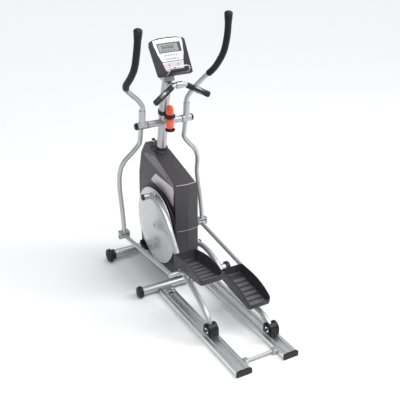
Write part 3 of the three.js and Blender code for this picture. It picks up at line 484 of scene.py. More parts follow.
class TrainerFinishes(bpy.types.PropertyGroup):
    """Colours that a user would change."""

    silver: FloatVectorProperty(
        name="Silver paint", description="Tubes, legs and arms", subtype="COLOR", size=3,
        min=0, max=1, default=(0.50, 0.505, 0.51),
    )
    shroud: FloatVectorProperty(
        name="Shroud", description="Moulded shroud shells", subtype="COLOR", size=3,
        min=0, max=1, default=(0.052, 0.049, 0.052),
    )
    disc: FloatVectorProperty(
        name="Crank disc", description="Silver crank discs", subtype="COLOR", size=3,
        min=0, max=1, default=(0.56, 0.57, 0.585),
    )
    bottle: FloatVectorProperty(
        name="Bottle", description="Water bottle", subtype="COLOR", size=3,
        min=0, max=1, default=(0.86, 0.11, 0.035),
    )
    stripe: FloatVectorProperty(
        name="Shroud stripe", description="Crescent round the crank disc", subtype="COLOR", size=3,
        min=0, max=1, default=(0.24, 0.03, 0.06),
    )


class TrainerSizes(bpy.types.PropertyGroup):
    """Roundings and repeats that a user would change."""

    edge: FloatProperty(
        name="Edge rounding", description="Rounding of moulded edges", unit="LENGTH",
        min=0.0002, max=0.006, default=0.0015,
    )
    shroud_edge: FloatProperty(
        name="Shroud edge", description="Rounding of the shroud's outer edge", unit="LENGTH",
        min=0.002, max=0.03, default=0.014,
    )
    pedal_ribs: IntProperty(
        name="Pedal ribs", description="Tread ribs across each pedal", min=3, max=20, default=6,
    )
    tube_sides: IntProperty(
        name="Tube facets", description="Facets round each tube", min=16, max=96, default=40,
    )


MATERIALS = {}


def finishes():
    return bpy.context.scene.trainer_finishes


def sizes():
    return bpy.context.scene.trainer_sizes


class TRAINER_OT_materials(bpy.types.Operator):
    """Makes every finish and gives it to the CAD nodes that stay on show"""

    bl_idname = "trainer.materials"
    bl_label = "Finishes"

    def execute(self, context):
        colours = finishes()
        m = MATERIALS
        m["silver"] = paint(
            "Silver powder coat", colours.silver, 0.36, 0.7, Coat_Weight=0.2, Coat_Roughness=0.15
        )
        m["frame"] = paint("Grey frame paint", (0.20, 0.20, 0.21), 0.45, 0.3)
        m["bright"] = paint("Bright turned metal", (0.78, 0.79, 0.80), 0.2, 1.0)
        m["rail"] = drawn_metal("Drawn aluminium", (0.90, 0.905, 0.91), 0.3, (420.0, 3.0, 420.0))
        m["disc"] = plastic(
            "Silver disc", colours.disc, 0.25, 1400.0, 0.02, 0.0, Metallic=0.6, Coat_Weight=0.5,
            Coat_Roughness=0.1,
        )
        m["shroud"] = plastic(
            "Shroud shell", colours.shroud, 0.4, 1100.0, 0.1, 0.04, Specular_IOR_Level=0.4
        )
        m["panel"] = plastic("Shroud panel", [c * 3.2 for c in colours.shroud], 0.38, 1100.0, 0.08, 0.03)
        # Pale colour for the lower back line and the keys, and also for the painted highlight along the shroud's
        # crease.
        m["trim"] = plastic("Pale trim and crease highlight", (0.42, 0.42, 0.44), 0.35, 1400.0, 0.03, 0.02)
        m["stripe"] = plastic("Dark red stripe", colours.stripe, 0.32, 1600.0, 0.02, 0.02, Coat_Weight=0.4)
        m["decal"] = plastic("Pale film", (0.72, 0.66, 0.68), 0.3, 1600.0, 0.02, 0.02)
        m["black"] = plastic(
            "Black moulding", (0.009, 0.009, 0.010), 0.4, 1000.0, 0.14, 0.05, Specular_IOR_Level=0.35
        )
        m["pedal"] = plastic(
            "Pedal moulding", (0.030, 0.029, 0.031), 0.42, 700.0, 0.22, 0.1, Specular_IOR_Level=0.4
        )
        m["tread"] = plastic("Pedal tread", (0.105, 0.103, 0.108), 0.32, 500.0, 0.25, 0.12)
        m["rubber"] = plastic(
            "Roller rubber", (0.014, 0.014, 0.015), 0.55, 600.0, 0.2, 0.1, Specular_IOR_Level=0.35
        )
        m["foam"] = surface(
            "Foam grip", FOAM, {"Color": (0.010, 0.010, 0.011, 1), "Cell size": 650.0}, 0.35, 0.0006,
            Sheen_Weight=0.08,
            Specular_IOR_Level=0.3,
        )
        m["steel"] = drawn_metal("Turned steel", (0.55, 0.56, 0.58), 0.35, (30.0, 300.0, 300.0))
        m["iron"] = drawn_metal("Machined iron", (0.28, 0.28, 0.29), 0.42, (60.0, 260.0, 260.0), 0.35)
        m["chrome"] = paint("Chromed wire", (0.86, 0.87, 0.88), 0.12, 1.0)
        m["face"] = plastic(
            "Console film", (0.52, 0.53, 0.56), 0.3, 1500.0, 0.02, 0.03, Metallic=0.35, Coat_Weight=0.3
        )
        m["lower"] = plastic("Console lower panel", (0.62, 0.54, 0.56), 0.4, 1500.0, 0.02, 0.03)
        m["screen"] = plastic(
            "Display", (0.10, 0.125, 0.108), 0.12, 2000.0, 0.01, 0.01, Coat_Weight=1.0,
            Coat_Roughness=0.05
        )
        m["ink"] = plastic("Dark print", (0.03, 0.032, 0.035), 0.35, 1500.0, 0.01, 0.0)
        m["key"] = plastic("Grey key", (0.30, 0.30, 0.32), 0.5, 900.0, 0.05, 0.02)
        m["red"] = plastic("Red key", (0.20, 0.012, 0.02), 0.4, 900.0, 0.05, 0.02)
        m["bottle"] = plastic(
            "Bottle", colours.bottle, 0.3, 500.0, 0.03, 0.02, Subsurface_Weight=0.15, Coat_Weight=0.3,
        )
        m["contact"] = drawn_metal("Contact plate", (0.30, 0.305, 0.31), 0.42, (200.0, 200.0, 20.0), 0.12)
        by_slot = {
            "silver_paint": "silver", "frame_paint": "frame", "rail_aluminium": "rail",
            "disc_plastic": "disc",
            "shroud_plastic": "shroud", "black_plastic": "black", "pedal_plastic": "pedal",
            "grip_foam": "foam",
            "sensor_plastic": "black", "roller_rubber": "rubber", "wheel_plastic": "rubber",
            "steel": "steel",
            "flywheel_iron": "iron", "belt_rubber": "rubber", "face_plastic": "face", "lcd_glass": "screen",
            "button_grey": "key", "button_red": "red", "wire_chrome": "chrome", "bottle_orange": "bottle",
        }
        for part in frame["record"]["subparts"]:
            node = NODES[part["node"]]
            node.data.materials.clear()
            node.data.materials.append(m[by_slot[part["material_slot"]]])
        for name in ("main_frame", "mid_stabiliser", "rear_cross_rod", "power_inlet"):
            soften(NODES[name], 0.0012)
        return {"FINISHED"}


# ---------------------------------------------------------------- base and rails

def rail_section(x, ridge=0.021, half=0.045, top=0.030, crest=0.0376, low=0.002):
    """Cross-section of a rail with its two running ridges and the channel lines beside them."""
    right = [
        (half, low), (half, 0.0085), (half - 0.0015, 0.0095), (half - 0.0015, 0.0115), (half, 0.0125),
        (half, top - 0.004), (half - 0.004, top), (ridge + 0.0115, top), (ridge + 0.0105, top - 0.004),
        (ridge + 0.0075, top - 0.004), (ridge + 0.0065, top), (ridge + 0.0052, crest - 0.001),
        (ridge + 0.004, crest),
        (ridge - 0.004, crest), (ridge - 0.0052, crest - 0.001), (ridge - 0.0065, top),
        (ridge - 0.0075, top - 0.004),
        (ridge - 0.0105, top - 0.004), (ridge - 0.0115, top), (0.004, top), (0.003, top - 0.002),
    ]
    left = [(-a, b) for a, b in reversed(right)]
    return [(x + a, b) for a, b in right + left]


class TRAINER_OT_base(bpy.types.Operator):
    """Builds the stabilisers, feet, wheels, rails and rail caps"""

    bl_idname = "trainer.base"
    bl_label = "Base and rails"

    def execute(self, context):
        node = "front_stabiliser"
        low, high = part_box(node)
        centre = middle(node)
        radius = (high[2] - low[2]) / 2
        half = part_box("transport_wheel_right")[0][0] - 0.003
        bm = bmesh.new()
        add_tube(bm, [(-half, *centre.yz), (half, *centre.yz)], radius, sizes().tube_sides)
        finish_mesh("Front stabiliser tube", bm, "silver", "frame", (node,), 0.0015)
        for name, side in SIDES.items():
            self.wheel(name, side)
            self.foot(name, side)
            self.rail(name)
            self.bracket(name, side)
        return {"FINISHED"}

    def wheel(self, name, side):
        node = f"transport_wheel_{name}"
        low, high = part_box(node)
        inner, outer = (low[0], high[0]) if side > 0 else (high[0], low[0])
        centre = middle(node)
        r = (high[1] - low[1]) / 2
        width = abs(outer - inner)
        profile = [
            (0, 0.012), (0, r - 0.011), (0.004, r - 0.004), (0.008, r), (width - 0.008, r),
            (width - 0.003, r - 0.003),
            (width - 0.001, r - 0.008), (width - 0.004, r - 0.011), (width - 0.0045, 0.016), (width, 0.013),
            (width, 0.006), (width - 0.002, 0.004), (width - 0.002, 0),
        ]
        bm = bmesh.new()
        add_turned(bm, (inner, *centre.yz), (side, 0, 0), profile)
        finish_mesh(
            f"Transport wheel {name}", bm, "rubber", f"transport_{name}", (node,),
            0.0008
        )

    def foot(self, name, side):
        node = f"mid_foot_{name}"
        low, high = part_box(node)
        inner, outer = (low[0], high[0]) if side > 0 else (high[0], low[0])
        centre = middle(node)
        r = (high[1] - low[1]) / 2
        width = abs(outer - inner)
        profile = [
            (0, 0), (0, r - 0.003), (0.003, r), (0.010, r), (0.011, r - 0.001), (0.012, r),
            (width - 0.008, r),
            (width - 0.003, r - 0.003), (width, r - 0.009), (width, 0.012), (width - 0.0015, 0.010),
            (width - 0.0015, 0),
        ]
        bm = bmesh.new()
        add_turned(bm, (inner, *centre.yz), (side, 0, 0), profile)
        finish_mesh(f"Foot cap {name}", bm, "black", "frame", (node,), 0.0008)

    def rail(self, name):
        low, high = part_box(f"rail_{name}")
        x = (low[0] + high[0]) / 2
        bm = bmesh.new()
        add_prism(bm, [(a, low[1], b) for a, b in rail_section(x)], (0, high[1] - low[1], 0))
        finish_mesh(f"Rail {name}", bm, "rail", "frame", (f"rail_{name}",), 0.0006)
        low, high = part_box(f"rail_cap_{name}")
        half, crown_half, shoulder, crown = 0.046, 0.026, 0.031, 0.0355
        outline = rounded([
            (x - half, 0), (x + half, 0), (x + half, shoulder), (x + crown_half, crown),
            (x - crown_half, crown), (x - half, shoulder),
        ], 0.006, 4)
        bm = bmesh.new()
        add_prism(bm, [(a, low[1], b) for a, b in outline], (0, high[1] - low[1], 0))
        finish_mesh(
            f"Rail cap {name}", bm, "black", "frame", (f"rail_cap_{name}",), 0.0012
        )

    def bracket(self, name, side):
        """Bolts of the rail's front bracket, the rear rod's clamp and the sleeve beside the wheel."""
        x = side * LEG_X
        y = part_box(f"rail_{name}")[1][1] - 0.035
        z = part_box("mid_stabiliser")[1][2] - 0.016
        bm = bmesh.new()
        for dx in (-0.024, 0.024):
            add_turned(
                bm, (x + dx, y, z), (0, 0, 1),
                [(0, 0), (0, 0.0075), (0.004, 0.007), (0.0055, 0.004), (0.0055, 0)], 24
            )
        finish_mesh(f"Bracket bolts {name}", bm, "bright", "frame")
        rod = middle("rear_cross_rod")
        x0, x1 = sorted((side * 0.0765, side * 0.1016))
        bm = bmesh.new()
        add_box(bm, (x0, rod.y - 0.017, rod.z - 0.013), (x1, rod.y + 0.017, rod.z + 0.0135))
        finish_mesh(f"Rod bracket {name}", bm, "silver", "frame", (), 0.004, 3)
        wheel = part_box(f"transport_wheel_{name}")
        reach = min(abs(wheel[0][0]), abs(wheel[1][0])) - 0.0008
        bm = bmesh.new()
        add_turned(bm, (side * reach, *middle("front_stabiliser").yz), (-side, 0, 0), [
            (0, 0.0292), (0, 0.0335), (0.002, 0.0345), (0.016, 0.0345), (0.018, 0.0330), (0.018, 0.0292),
        ], 64)
        finish_mesh(f"Wheel sleeve {name}", bm, "black", "frame")


# ---------------------------------------------------------------- shroud, disc and guard

# Outline of the shroud from the side: y forwards, z upwards, from the low rear corner round by the front.
SHROUD_SIDE = [
    (0.174, 0.092), (0.655, 0.080), (0.668, 0.300), (0.664, 0.520), (0.650, 0.745), (0.600, 0.826),
    (0.545, 0.832),
    (0.528, 0.800), (0.440, 0.792), (0.156, 0.700), (0.152, 0.380),
]
SHROUD_CORNERS = [0.03, 0.03, 0.2, 0.2, 0.05, 0.03, 0.012, 0.012, 0.05, 0.012, 0.2]
CROWN = 0.16
SEAM_HALF = 0.0006
SUNK = 0.0004
SHROUD_HALF = 0.075
TAPER_FROM, TAPER_TO, TAPER_TOP = 0.610, 0.890, 0.044


def shroud_width(z):
    share = min(max((z - TAPER_FROM) / (TAPER_TO - TAPER_FROM), 0.0), 1.0)
    return SHROUD_HALF + (TAPER_TOP - SHROUD_HALF) * share


class TRAINER_OT_shroud(bpy.types.Operator):
    """Builds the shroud shells, their patches, the pale back lines with the painted crease highlight, the crank
    disc with its guard, and the collar
    """

    bl_idname = "trainer.shroud"
    bl_label = "Shroud"

    def execute(self, context):
        for name, side in SIDES.items():
            self.shell(name, side)
            self.patches(name, side)
        self.guard()
        self.disc()
        self.crank_arm()
        self.collar()
        self.trim_and_crease_highlight()
        self.shade_fins()
        return {"FINISHED"}

    def shell(self, name, side):
        """One half: the side outline given depth, then cut to the taper and to the crowned back and slope."""
        outline = rounded(SHROUD_SIDE, SHROUD_CORNERS, 8)
        bm = bmesh.new()
        add_prism(
            bm, [(side * SEAM_HALF, y, z) for y, z in outline], (side * (SHROUD_HALF - SEAM_HALF), 0, 0)
        )
        taper = (side * (TAPER_TO - TAPER_FROM), 0, SHROUD_HALF - TAPER_TOP)
        for spot, outward in (
            ((side * SHROUD_HALF, 0, TAPER_FROM), taper),
            ((0, 0.152, 0.400), (side * CROWN, -1, 0)),
            ((0, 0.156, 0.700), (side * CROWN, -0.308, 0.951)),
        ):
            cut = bmesh.ops.bisect_plane(
                bm, geom=bm.verts[:] + bm.edges[:] + bm.faces[:], plane_co=spot,
                plane_no=Vector(outward).normalized(), clear_outer=True,
            )
            rim = [e for e in cut["geom_cut"] if isinstance(e, bmesh.types.BMEdge)]
            bmesh.ops.contextual_create(bm, geom=rim)
        piece = finish_mesh(
            f"Shroud shell {name}", bm, "shroud", "frame", (f"shroud_{name}",), sharp=20,
        )
        weights = piece.data.attributes.new("bevel_weight_edge", "FLOAT", "EDGE")
        normals = {}
        for face in piece.data.polygons:
            for key in face.edge_keys:
                normals.setdefault(key, []).append(face.normal.copy())
        for edge in piece.data.edges:
            ends = [piece.data.vertices[i].co for i in edge.vertices]
            met = normals.get(edge.key, [])
            flat = len(met) == 2 and met[0].angle(met[1]) < math.radians(22)
            seam = all(abs(p.x) < 0.001 for p in ends)
            weights.data[edge.index].value = 0.0 if flat else (0.12 if seam else 1.0)
        rounding = piece.modifiers.new("Rounded edges", "BEVEL")
        rounding.width = sizes().shroud_edge
        rounding.segments = 4
        rounding.limit_method = "WEIGHT"
        rounding.harden_normals = True

    def guard(self):
        """Black flange and drum behind the crank disc."""
        low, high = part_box("disc_guard")
        inner, outer = high[0], low[0]
        width = abs(outer - inner)
        r = (high[1] - low[1]) / 2
        flange = width - 0.008
        profile = [
            (0, 0.05), (0, 0.190), (flange, 0.190), (flange, r - 0.002), (flange + 0.002, r),
            (width - 0.003, r),
            (width - 0.001, r - 0.0015), (width, r - 0.004), (width, r - 0.010), (width - 0.002, r - 0.012),
            (width - 0.002, 0.03), (width - 0.003, 0.03),
        ]
        bm = bmesh.new()
        add_turned(bm, (inner, *middle("disc_guard").yz), (-1, 0, 0), profile, 128)
        finish_mesh("Disc guard", bm, "black", "frame", ("disc_guard",), 0.0006)

    def disc(self):
        """Dished silver disc with a slotted middle and the boss of the crank pin."""
        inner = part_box("crank_disc")[1][0]
        r = 0.241
        pin = LINKAGES[0].pin
        profile = [
            (0, 0.02), (0, r - 0.006), (0.0005, r - 0.001), (0.003, r), (0.006, r - 0.0005),
            (0.0085, r - 0.004),
            (0.0095, r - 0.009), (0.0088, r - 0.012), (0.0098, r - 0.015), (0.0118, 0.150), (0.0133, 0.085),
            (0.0138, 0.045), (0.0140, 0.026), (0.0140, 0),
        ]
        bm = bmesh.new()
        add_turned(bm, (inner, *CRANK.yz), (-1, 0, 0), profile, 144)
        boss = [(0, 0.024), (0.0075, 0.021), (0.0105, 0.016), (0.0105, 0)]
        add_turned(bm, (inner - 0.006, *pin.yz), (-1, 0, 0), boss, 48)
        finish_mesh("Crank disc", bm, "disc", "crank", ("crank_disc",), 0.0005)
        bm = bmesh.new()
        w, h = 0.0042, 0.0125
        slot = rounded([(-w, -h), (w, -h), (w, h), (-w, h)], 0.0035, 4)
        add_prism(bm, [(inner - 0.0146, CRANK.y + y, CRANK.z + z) for y, z in slot], (0.001, 0, 0))
        finish_mesh("Disc slot", bm, "black", "crank")

    def crank_arm(self):
        """Plain forged crank on the other end of the axle."""
        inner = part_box("crank_arm")[0][0]
        pin = LINKAGES[1].pin
        reach = CRANK.z - pin.z
        end_r, root_half = 0.019, 0.027
        root_z = CRANK.z - reach * 0.1
        turns = [math.pi + math.pi * k / 16 for k in range(17)]
        outline = [(pin.y + end_r * math.cos(t), pin.z + end_r * math.sin(t)) for t in turns]
        outline += [(pin.y + root_half, root_z), (pin.y - root_half, root_z)]
        bm = bmesh.new()
        add_prism(bm, [(inner, y, z) for y, z in outline], (0.0115, 0, 0))
        add_turned(
            bm, (inner, *CRANK.yz), (1, 0, 0),
            [(0, 0), (0, 0.033), (0.012, 0.033), (0.0138, 0.031), (0.0138, 0)], 56
        )
        add_turned(
            bm, (inner + 0.006, *pin.yz), (1, 0, 0), [(0, 0), (0, 0.016), (0.0105, 0.016), (0.0105, 0)],
            40
        )
        finish_mesh("Crank arm", bm, "disc", "crank", ("crank_arm",), 0.0012)

    def patches(self, name, side):
        """Printed band and crescent above the disc, and the pale wedge below the shroud's slope."""
        band = [
            (0.491, 0.618), (0.434, 0.677), (0.205, 0.673), (0.190, 0.655), (0.187, 0.556), (0.230, 0.571),
            (0.303, 0.601), (0.412, 0.610),
        ]
        crescent = [
            (0.446, 0.598), (0.350, 0.592), (0.303, 0.592), (0.232, 0.562), (0.188, 0.546), (0.187, 0.500),
            (0.244, 0.545), (0.303, 0.575), (0.350, 0.585),
        ]
        wedge = [
            (0.595, 0.739), (0.598, 0.760), (0.456, 0.780), (0.326, 0.741), (0.200, 0.694),
            (0.194, 0.674)
        ]
        for label, key, outline, corner, proud in (
            ("Pale band", "decal", band, 0.006, 0.0005), ("Red crescent", "stripe", crescent, 0.0, 0.0006),
            ("Pale wedge", "panel", wedge, 0.006, 0.0016),
        ):
            bm = bmesh.new()
            shape = rounded(outline, corner, 4) if corner else outline
            face = bm.faces.new([bm.verts.new((0, y, z)) for y, z in shape])
            bmesh.ops.triangulate(bm, faces=[face])
            bmesh.ops.bisect_plane(
                bm, geom=bm.verts[:] + bm.edges[:] + bm.faces[:], plane_co=(0, 0, TAPER_FROM),
                plane_no=(0, 0, 1),
            )
            for vertex in bm.verts:
                vertex.co.x = side * (shroud_width(vertex.co.z) - SUNK)
            made = bmesh.ops.extrude_face_region(bm, geom=bm.faces[:])
            for vertex in (v for v in made["geom"] if isinstance(v, bmesh.types.BMVert)):
                vertex.co.x += side * (proud + SUNK)
            # Faces in a fixed order, so that every run gives the same mesh.
            bm.faces.sort(key=lambda part: part.calc_center_median().dot((0.71, 1, 0.37)))
            finish_mesh(f"{label} {name}", bm, key, "frame")
        bm = bmesh.new()
        for y, z in ((0.528, 0.761), (0.280, 0.706)):
            spot = (side * (shroud_width(z) + 0.001), y, z)
            head = [(0, 0), (0, 0.0062), (0.0012, 0.006), (0.0016, 0.0045), (0.0010, 0.0030), (0.0010, 0)]
            add_turned(bm, spot, (side, 0, 0.11), head, 28)
        finish_mesh(f"Shroud screws {name}", bm, "black", "frame")

    def collar(self):
        """Ring round the mast's foot, and the little knob in front of it."""
        low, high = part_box("mast_collar")
        lean = Vector((0, -MAST_SLOPE, 1)).normalized()
        foot = 0.810
        base = Vector((0, 0.620 - MAST_SLOPE * (foot - 0.070), foot))
        r = (high[0] - low[0]) / 2
        height = 0.0183
        profile = [(0, MAST_TUBE_R), (0, r - 0.002), (0.003, r), (0.008, r), (0.009, r - 0.0012), (0.010, r),
                   (height - 0.004, r - 0.001), (height - 0.001, r - 0.004), (height, MAST_TUBE_R)]
        bm = bmesh.new()
        add_turned(bm, base, lean, profile)
        finish_mesh("Mast collar ring", bm, "black", "frame", ("mast_collar",), 0.0008)
        bm = bmesh.new()
        add_turned(
            bm, (-0.012, 0.566, 0.826), (0, 0, 1), [(0, 0), (0, 0.007), (0.015, 0.0065), (0.015, 0)], 28
        )
        finish_mesh("Knob stem", bm, "bright", "frame", (), 0.0006)
        bm = bmesh.new()
        add_turned(bm, (-0.012, 0.566, 0.840), (0, 0, 1), [
            (0, 0), (0, 0.0095), (0.002, 0.0105), (0.008, 0.0105), (0.011, 0.0085), (0.012, 0.005),
            (0.012, 0),
        ], 32)
        finish_mesh("Top knob", bm, "black", "frame")

    def trim_and_crease_highlight(self):
        """Pale lines across the shroud's back: a painted highlight along the crease, and one lower line."""
        reach = SHROUD_HALF - 0.010
        # The upper line is a painted highlight: a pale strip standing in for the light caught by the rounded
        # crease between slope and back.
        for label, y, z, r in (
            ("Crease highlight line", 0.1545, 0.6985, 0.0024), ("Lower line", 0.1518, 0.400, 0.0013)
        ):
            bm = bmesh.new()
            for side in (-1, 1):
                steps = [side * (0.0008 + (reach - 0.0008) * k / 6) for k in range(7)]
                add_tube(bm, [(x, y + CROWN * abs(x), z) for x in steps], r, 12)
            finish_mesh(label, bm, "trim", "frame")

    def shade_fins(self):
        """Ribbed black blocks at the shroud's front corners: painted shade, standing in for the shade under the
        shroud's lower front.
        """
        # Painted shade: these black blocks stand where the shroud's lower front corners are only in shadow.
        bm = bmesh.new()
        for side in (-1, 1):
            x0, x1 = sorted((side * 0.076, side * 0.080))
            add_box(bm, (x0, 0.560, 0.084), (x1, 0.655, 0.122))
            for k in range(5):
                y = 0.566 + 0.020 * k
                x0, x1 = sorted((side * 0.079, side * 0.094))
                add_box(bm, (x0, y, 0.086), (x1, y + 0.006, 0.118))
        finish_mesh("Front shade fins", bm, "black", "frame", (), 0.0012)


# ---------------------------------------------------------------- mast, bars and bottle

MAST_PATH = [
    (0, 0.4907, 0.765), (0, 0.4693, 0.880), (0, 0.4470, 1.000), (0, 0.436, 1.085), (0, 0.412, 1.175),
    (0, 0.384, 1.262),
]
FIXED_BAR_PATH = [
    (-0.164, 0.200, 1.204), (-0.104, 0.218, 1.236), (-0.052, 0.234, 1.263), (-0.024, 0.238, 1.272),
    (0, 0.238, 1.272), (0.024, 0.238, 1.272), (0.052, 0.234, 1.263), (0.104, 0.218, 1.236),
    (0.164, 0.200, 1.204),
]


class TRAINER_OT_mast(bpy.types.Operator):
    """Builds the mast, its cross tube, the fixed handlebar and its grips"""

    bl_idname = "trainer.mast"
    bl_label = "Mast and fixed handlebar"

    def execute(self, context):
        sides = sizes().tube_sides
        bm = bmesh.new()
        add_tube(bm, spline(MAST_PATH, 48), MAST_TUBE_R, sides)
        reach = 0.112
        add_tube(bm, [(-reach, *PIVOT.yz), (reach, *PIVOT.yz)], 0.020, sides)
        add_tube(bm, [(-0.1785, *PIVOT.yz), (0.1785, *PIVOT.yz)], 0.0118, sides)
        add_tube(bm, spline([(0, 0.395, 1.225), (0, 0.330, 1.246), (0, 0.252, 1.268)], 14), 0.015, sides)
        add_turned(bm, (-0.020, 0.238, 1.272), (1, 0, 0), [
            (0, 0.0135), (0, 0.0185), (0.0015, 0.020), (0.0185, 0.020), (0.0195, 0.019),
            (0.0205, 0.019), (0.0215, 0.020),
            (0.0385, 0.020), (0.040, 0.0185), (0.040, 0.0135),
        ], 48)
        finish_mesh("Mast", bm, "silver", "frame", ("mast",), 0.0008)
        bm = bmesh.new()
        back = [
            (-0.034, 0.352, 1.262), (-0.034, 0.412, 1.262), (-0.034, 0.402, 1.345),
            (-0.034, 0.380, 1.370)
        ]
        add_prism(bm, back, (0.068, 0, 0))
        finish_mesh("Console neck", bm, "silver", "frame", (), 0.004, 3)
        bm = bmesh.new()
        add_tube(bm, spline(FIXED_BAR_PATH, 72), 0.013, sides)
        finish_mesh("Fixed handlebar", bm, "silver", "frame", ("fixed_handlebar",), 0.001)
        for name, side in SIDES.items():
            self.grip(name, side)
        return {"FINISHED"}

    def grip(self, name, side):
        start = Vector((side * 0.046, 0.2354, 1.2656))
        end = Vector((side * 0.1715, 0.1978, 1.2000))
        along = (end - start).normalized()
        length = (end - start).length
        r = 0.017
        bm = bmesh.new()
        add_turned(bm, start, along, [
            (0, 0.0135), (0, r - 0.002), (0.002, r - 0.0005), (0.030, r - 0.0005), (0.031, r - 0.0015),
            (0.034, r - 0.0015),
            (0.035, r - 0.0005), (length - 0.030, r - 0.0005), (length - 0.029, r + 0.0004),
            (length - 0.006, r + 0.0004),
            (length - 0.0015, r - 0.003), (length, r - 0.008), (length, 0),
        ], 48)
        finish_mesh(
            f"Fixed grip {name}", bm, "black", "frame", (f"fixed_grip_{name}",),
            0.0006
        )
        bm = bmesh.new()
        up = Vector((0, 0, 1)) - along * along.z
        up.normalize()
        back = along.cross(up)
        for sign in (-1, 1):
            rows = []
            for i in range(15):
                turn = math.radians(24 + 132 * i / 14) * sign
                around = back * math.cos(turn) + up * math.sin(turn)
                rows.append([start + along * s + around * (r + 0.0007) for s in (0.040, 0.106)])
            verts = [[bm.verts.new(p) for p in row] for row in rows]
            for a, b in zip(verts, verts[1:]):
                bm.faces.new((a[0], a[1], b[1], b[0]))
        thick = finish_mesh(f"Contact plates {name}", bm, "contact", "frame")
        shell = thick.modifiers.new("Plate thickness", "SOLIDIFY")
        shell.thickness = 0.0012
        shell.offset = 0


class TRAINER_OT_bottle(bpy.types.Operator):
    """Builds the water bottle and the cage that holds it"""

    bl_idname = "trainer.bottle"
    bl_label = "Bottle and cage"

    def execute(self, context):
        low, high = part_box("water_bottle")
        foot = Vector((0, (low[1] + high[1]) / 2, low[2]))
        r = (high[1] - low[1]) / 2
        up = (0, 0, 1)
        bm = bmesh.new()
        slim = r - 0.0045
        add_turned(bm, foot, up, [
            (0.012, 0), (0.010, slim - 0.010), (0.0115, slim - 0.004), (0.014, slim - 0.001),
            (0.018, slim), (0.052, slim + 0.001),
            (0.062, slim + 0.001), (0.070, slim - 0.002), (0.080, slim - 0.004), (0.090, slim - 0.004),
            (0.098, slim - 0.001),
            (0.104, slim), (0.118, slim), (0.120, slim - 0.0012), (0.122, slim), (0.134, slim - 0.001),
            (0.143, slim - 0.005), (0.149, slim - 0.011), (0.1525, slim - 0.017), (0.153, 0),
        ], 96)
        finish_mesh("Bottle body", bm, "bottle", "bottle", ("water_bottle",))
        bm = bmesh.new()
        add_turned(bm, foot, up, [
            (0.068, 0.015), (0.068, slim - 0.0005), (0.070, slim + 0.0008), (0.096, slim + 0.0008),
            (0.098, slim - 0.0005),
            (0.098, 0.015),
        ], 96)
        finish_mesh("Bottle band", bm, "stripe", "bottle", (), 0.0005)
        soften(NODES["bottle_cage"], 0.0012)
        bm = bmesh.new()
        cup = r + 0.0016
        add_turned(bm, foot - Vector((0, 0, 0.0042)), up, [
            (0, 0), (0, cup - 0.002), (0.002, cup), (0.010, cup + 0.001), (0.0125, cup),
            (0.0125, cup - 0.003),
            (0.0038, cup - 0.0036), (0.0038, 0),
        ], 96)
        add_turned(bm, foot + Vector((0, 0, 0.0756)), up, [
            (0, cup), (0, cup + 0.002), (0.002, cup + 0.003), (0.016, cup + 0.003),
            (0.018, cup + 0.002), (0.018, cup), (0, cup),
        ], 96)
        back = foot.y + cup
        add_box(bm, (-0.009, back - 0.001, foot.z - 0.004), (0.009, back + 0.005, foot.z + 0.120))
        add_box(bm, (-0.011, back + 0.002, 1.046), (0.011, 0.425, 1.070))
        band = MAST_TUBE_R + 0.0045
        centre = Vector((0, 0.4442, 1.046))
        lean = Vector((0, -0.0045, 0.024)).normalized()
        add_turned(
            bm, centre, lean, [(0, MAST_TUBE_R), (0, band), (0.0245, band), (0.0245, MAST_TUBE_R)], 72
        )
        finish_mesh("Bottle cage", bm, "black", "frame", ("bottle_cage",), 0.0007)
        return {"FINISHED"}


# ---------------------------------------------------------------- console

CONSOLE_CENTRE = Vector((0, 0.327, 1.414))
CONSOLE_TILT = Matrix.Rotation(math.radians(55.7), 3, "X")
CONSOLE_W, CONSOLE_H, CONSOLE_D = 0.220, 0.217, 0.042


def on_console(x, y, z=0.0):
    """A point in the console's own tilted plane: x to the right, y up the face, z out of it."""
    return CONSOLE_CENTRE + CONSOLE_TILT @ Vector((x, y, z))


def add_plate(bm, outline, z0, z1):
    add_prism(bm, [on_console(x, y, z0) for x, y in outline], CONSOLE_TILT @ Vector((0, 0, z1 - z0)))


def mirrored(points):
    """A closed outline from its right half, given from bottom to top."""
    return list(points) + [(-x, y) for x, y in reversed(points)]


def both_ways(radii):
    """Corner radii for a mirrored outline."""
    return radii + radii[::-1]


def add_rectangle(bm, x0, x1, y0, y1, z0, z1, corner=0.0, steps=3):
    """Adds a flat plate with square or rounded corners on the console."""
    corners = [(x0, y0), (x1, y0), (x1, y1), (x0, y1)]
    add_plate(bm, rounded(corners, corner, steps) if corner else corners, z0, z1)


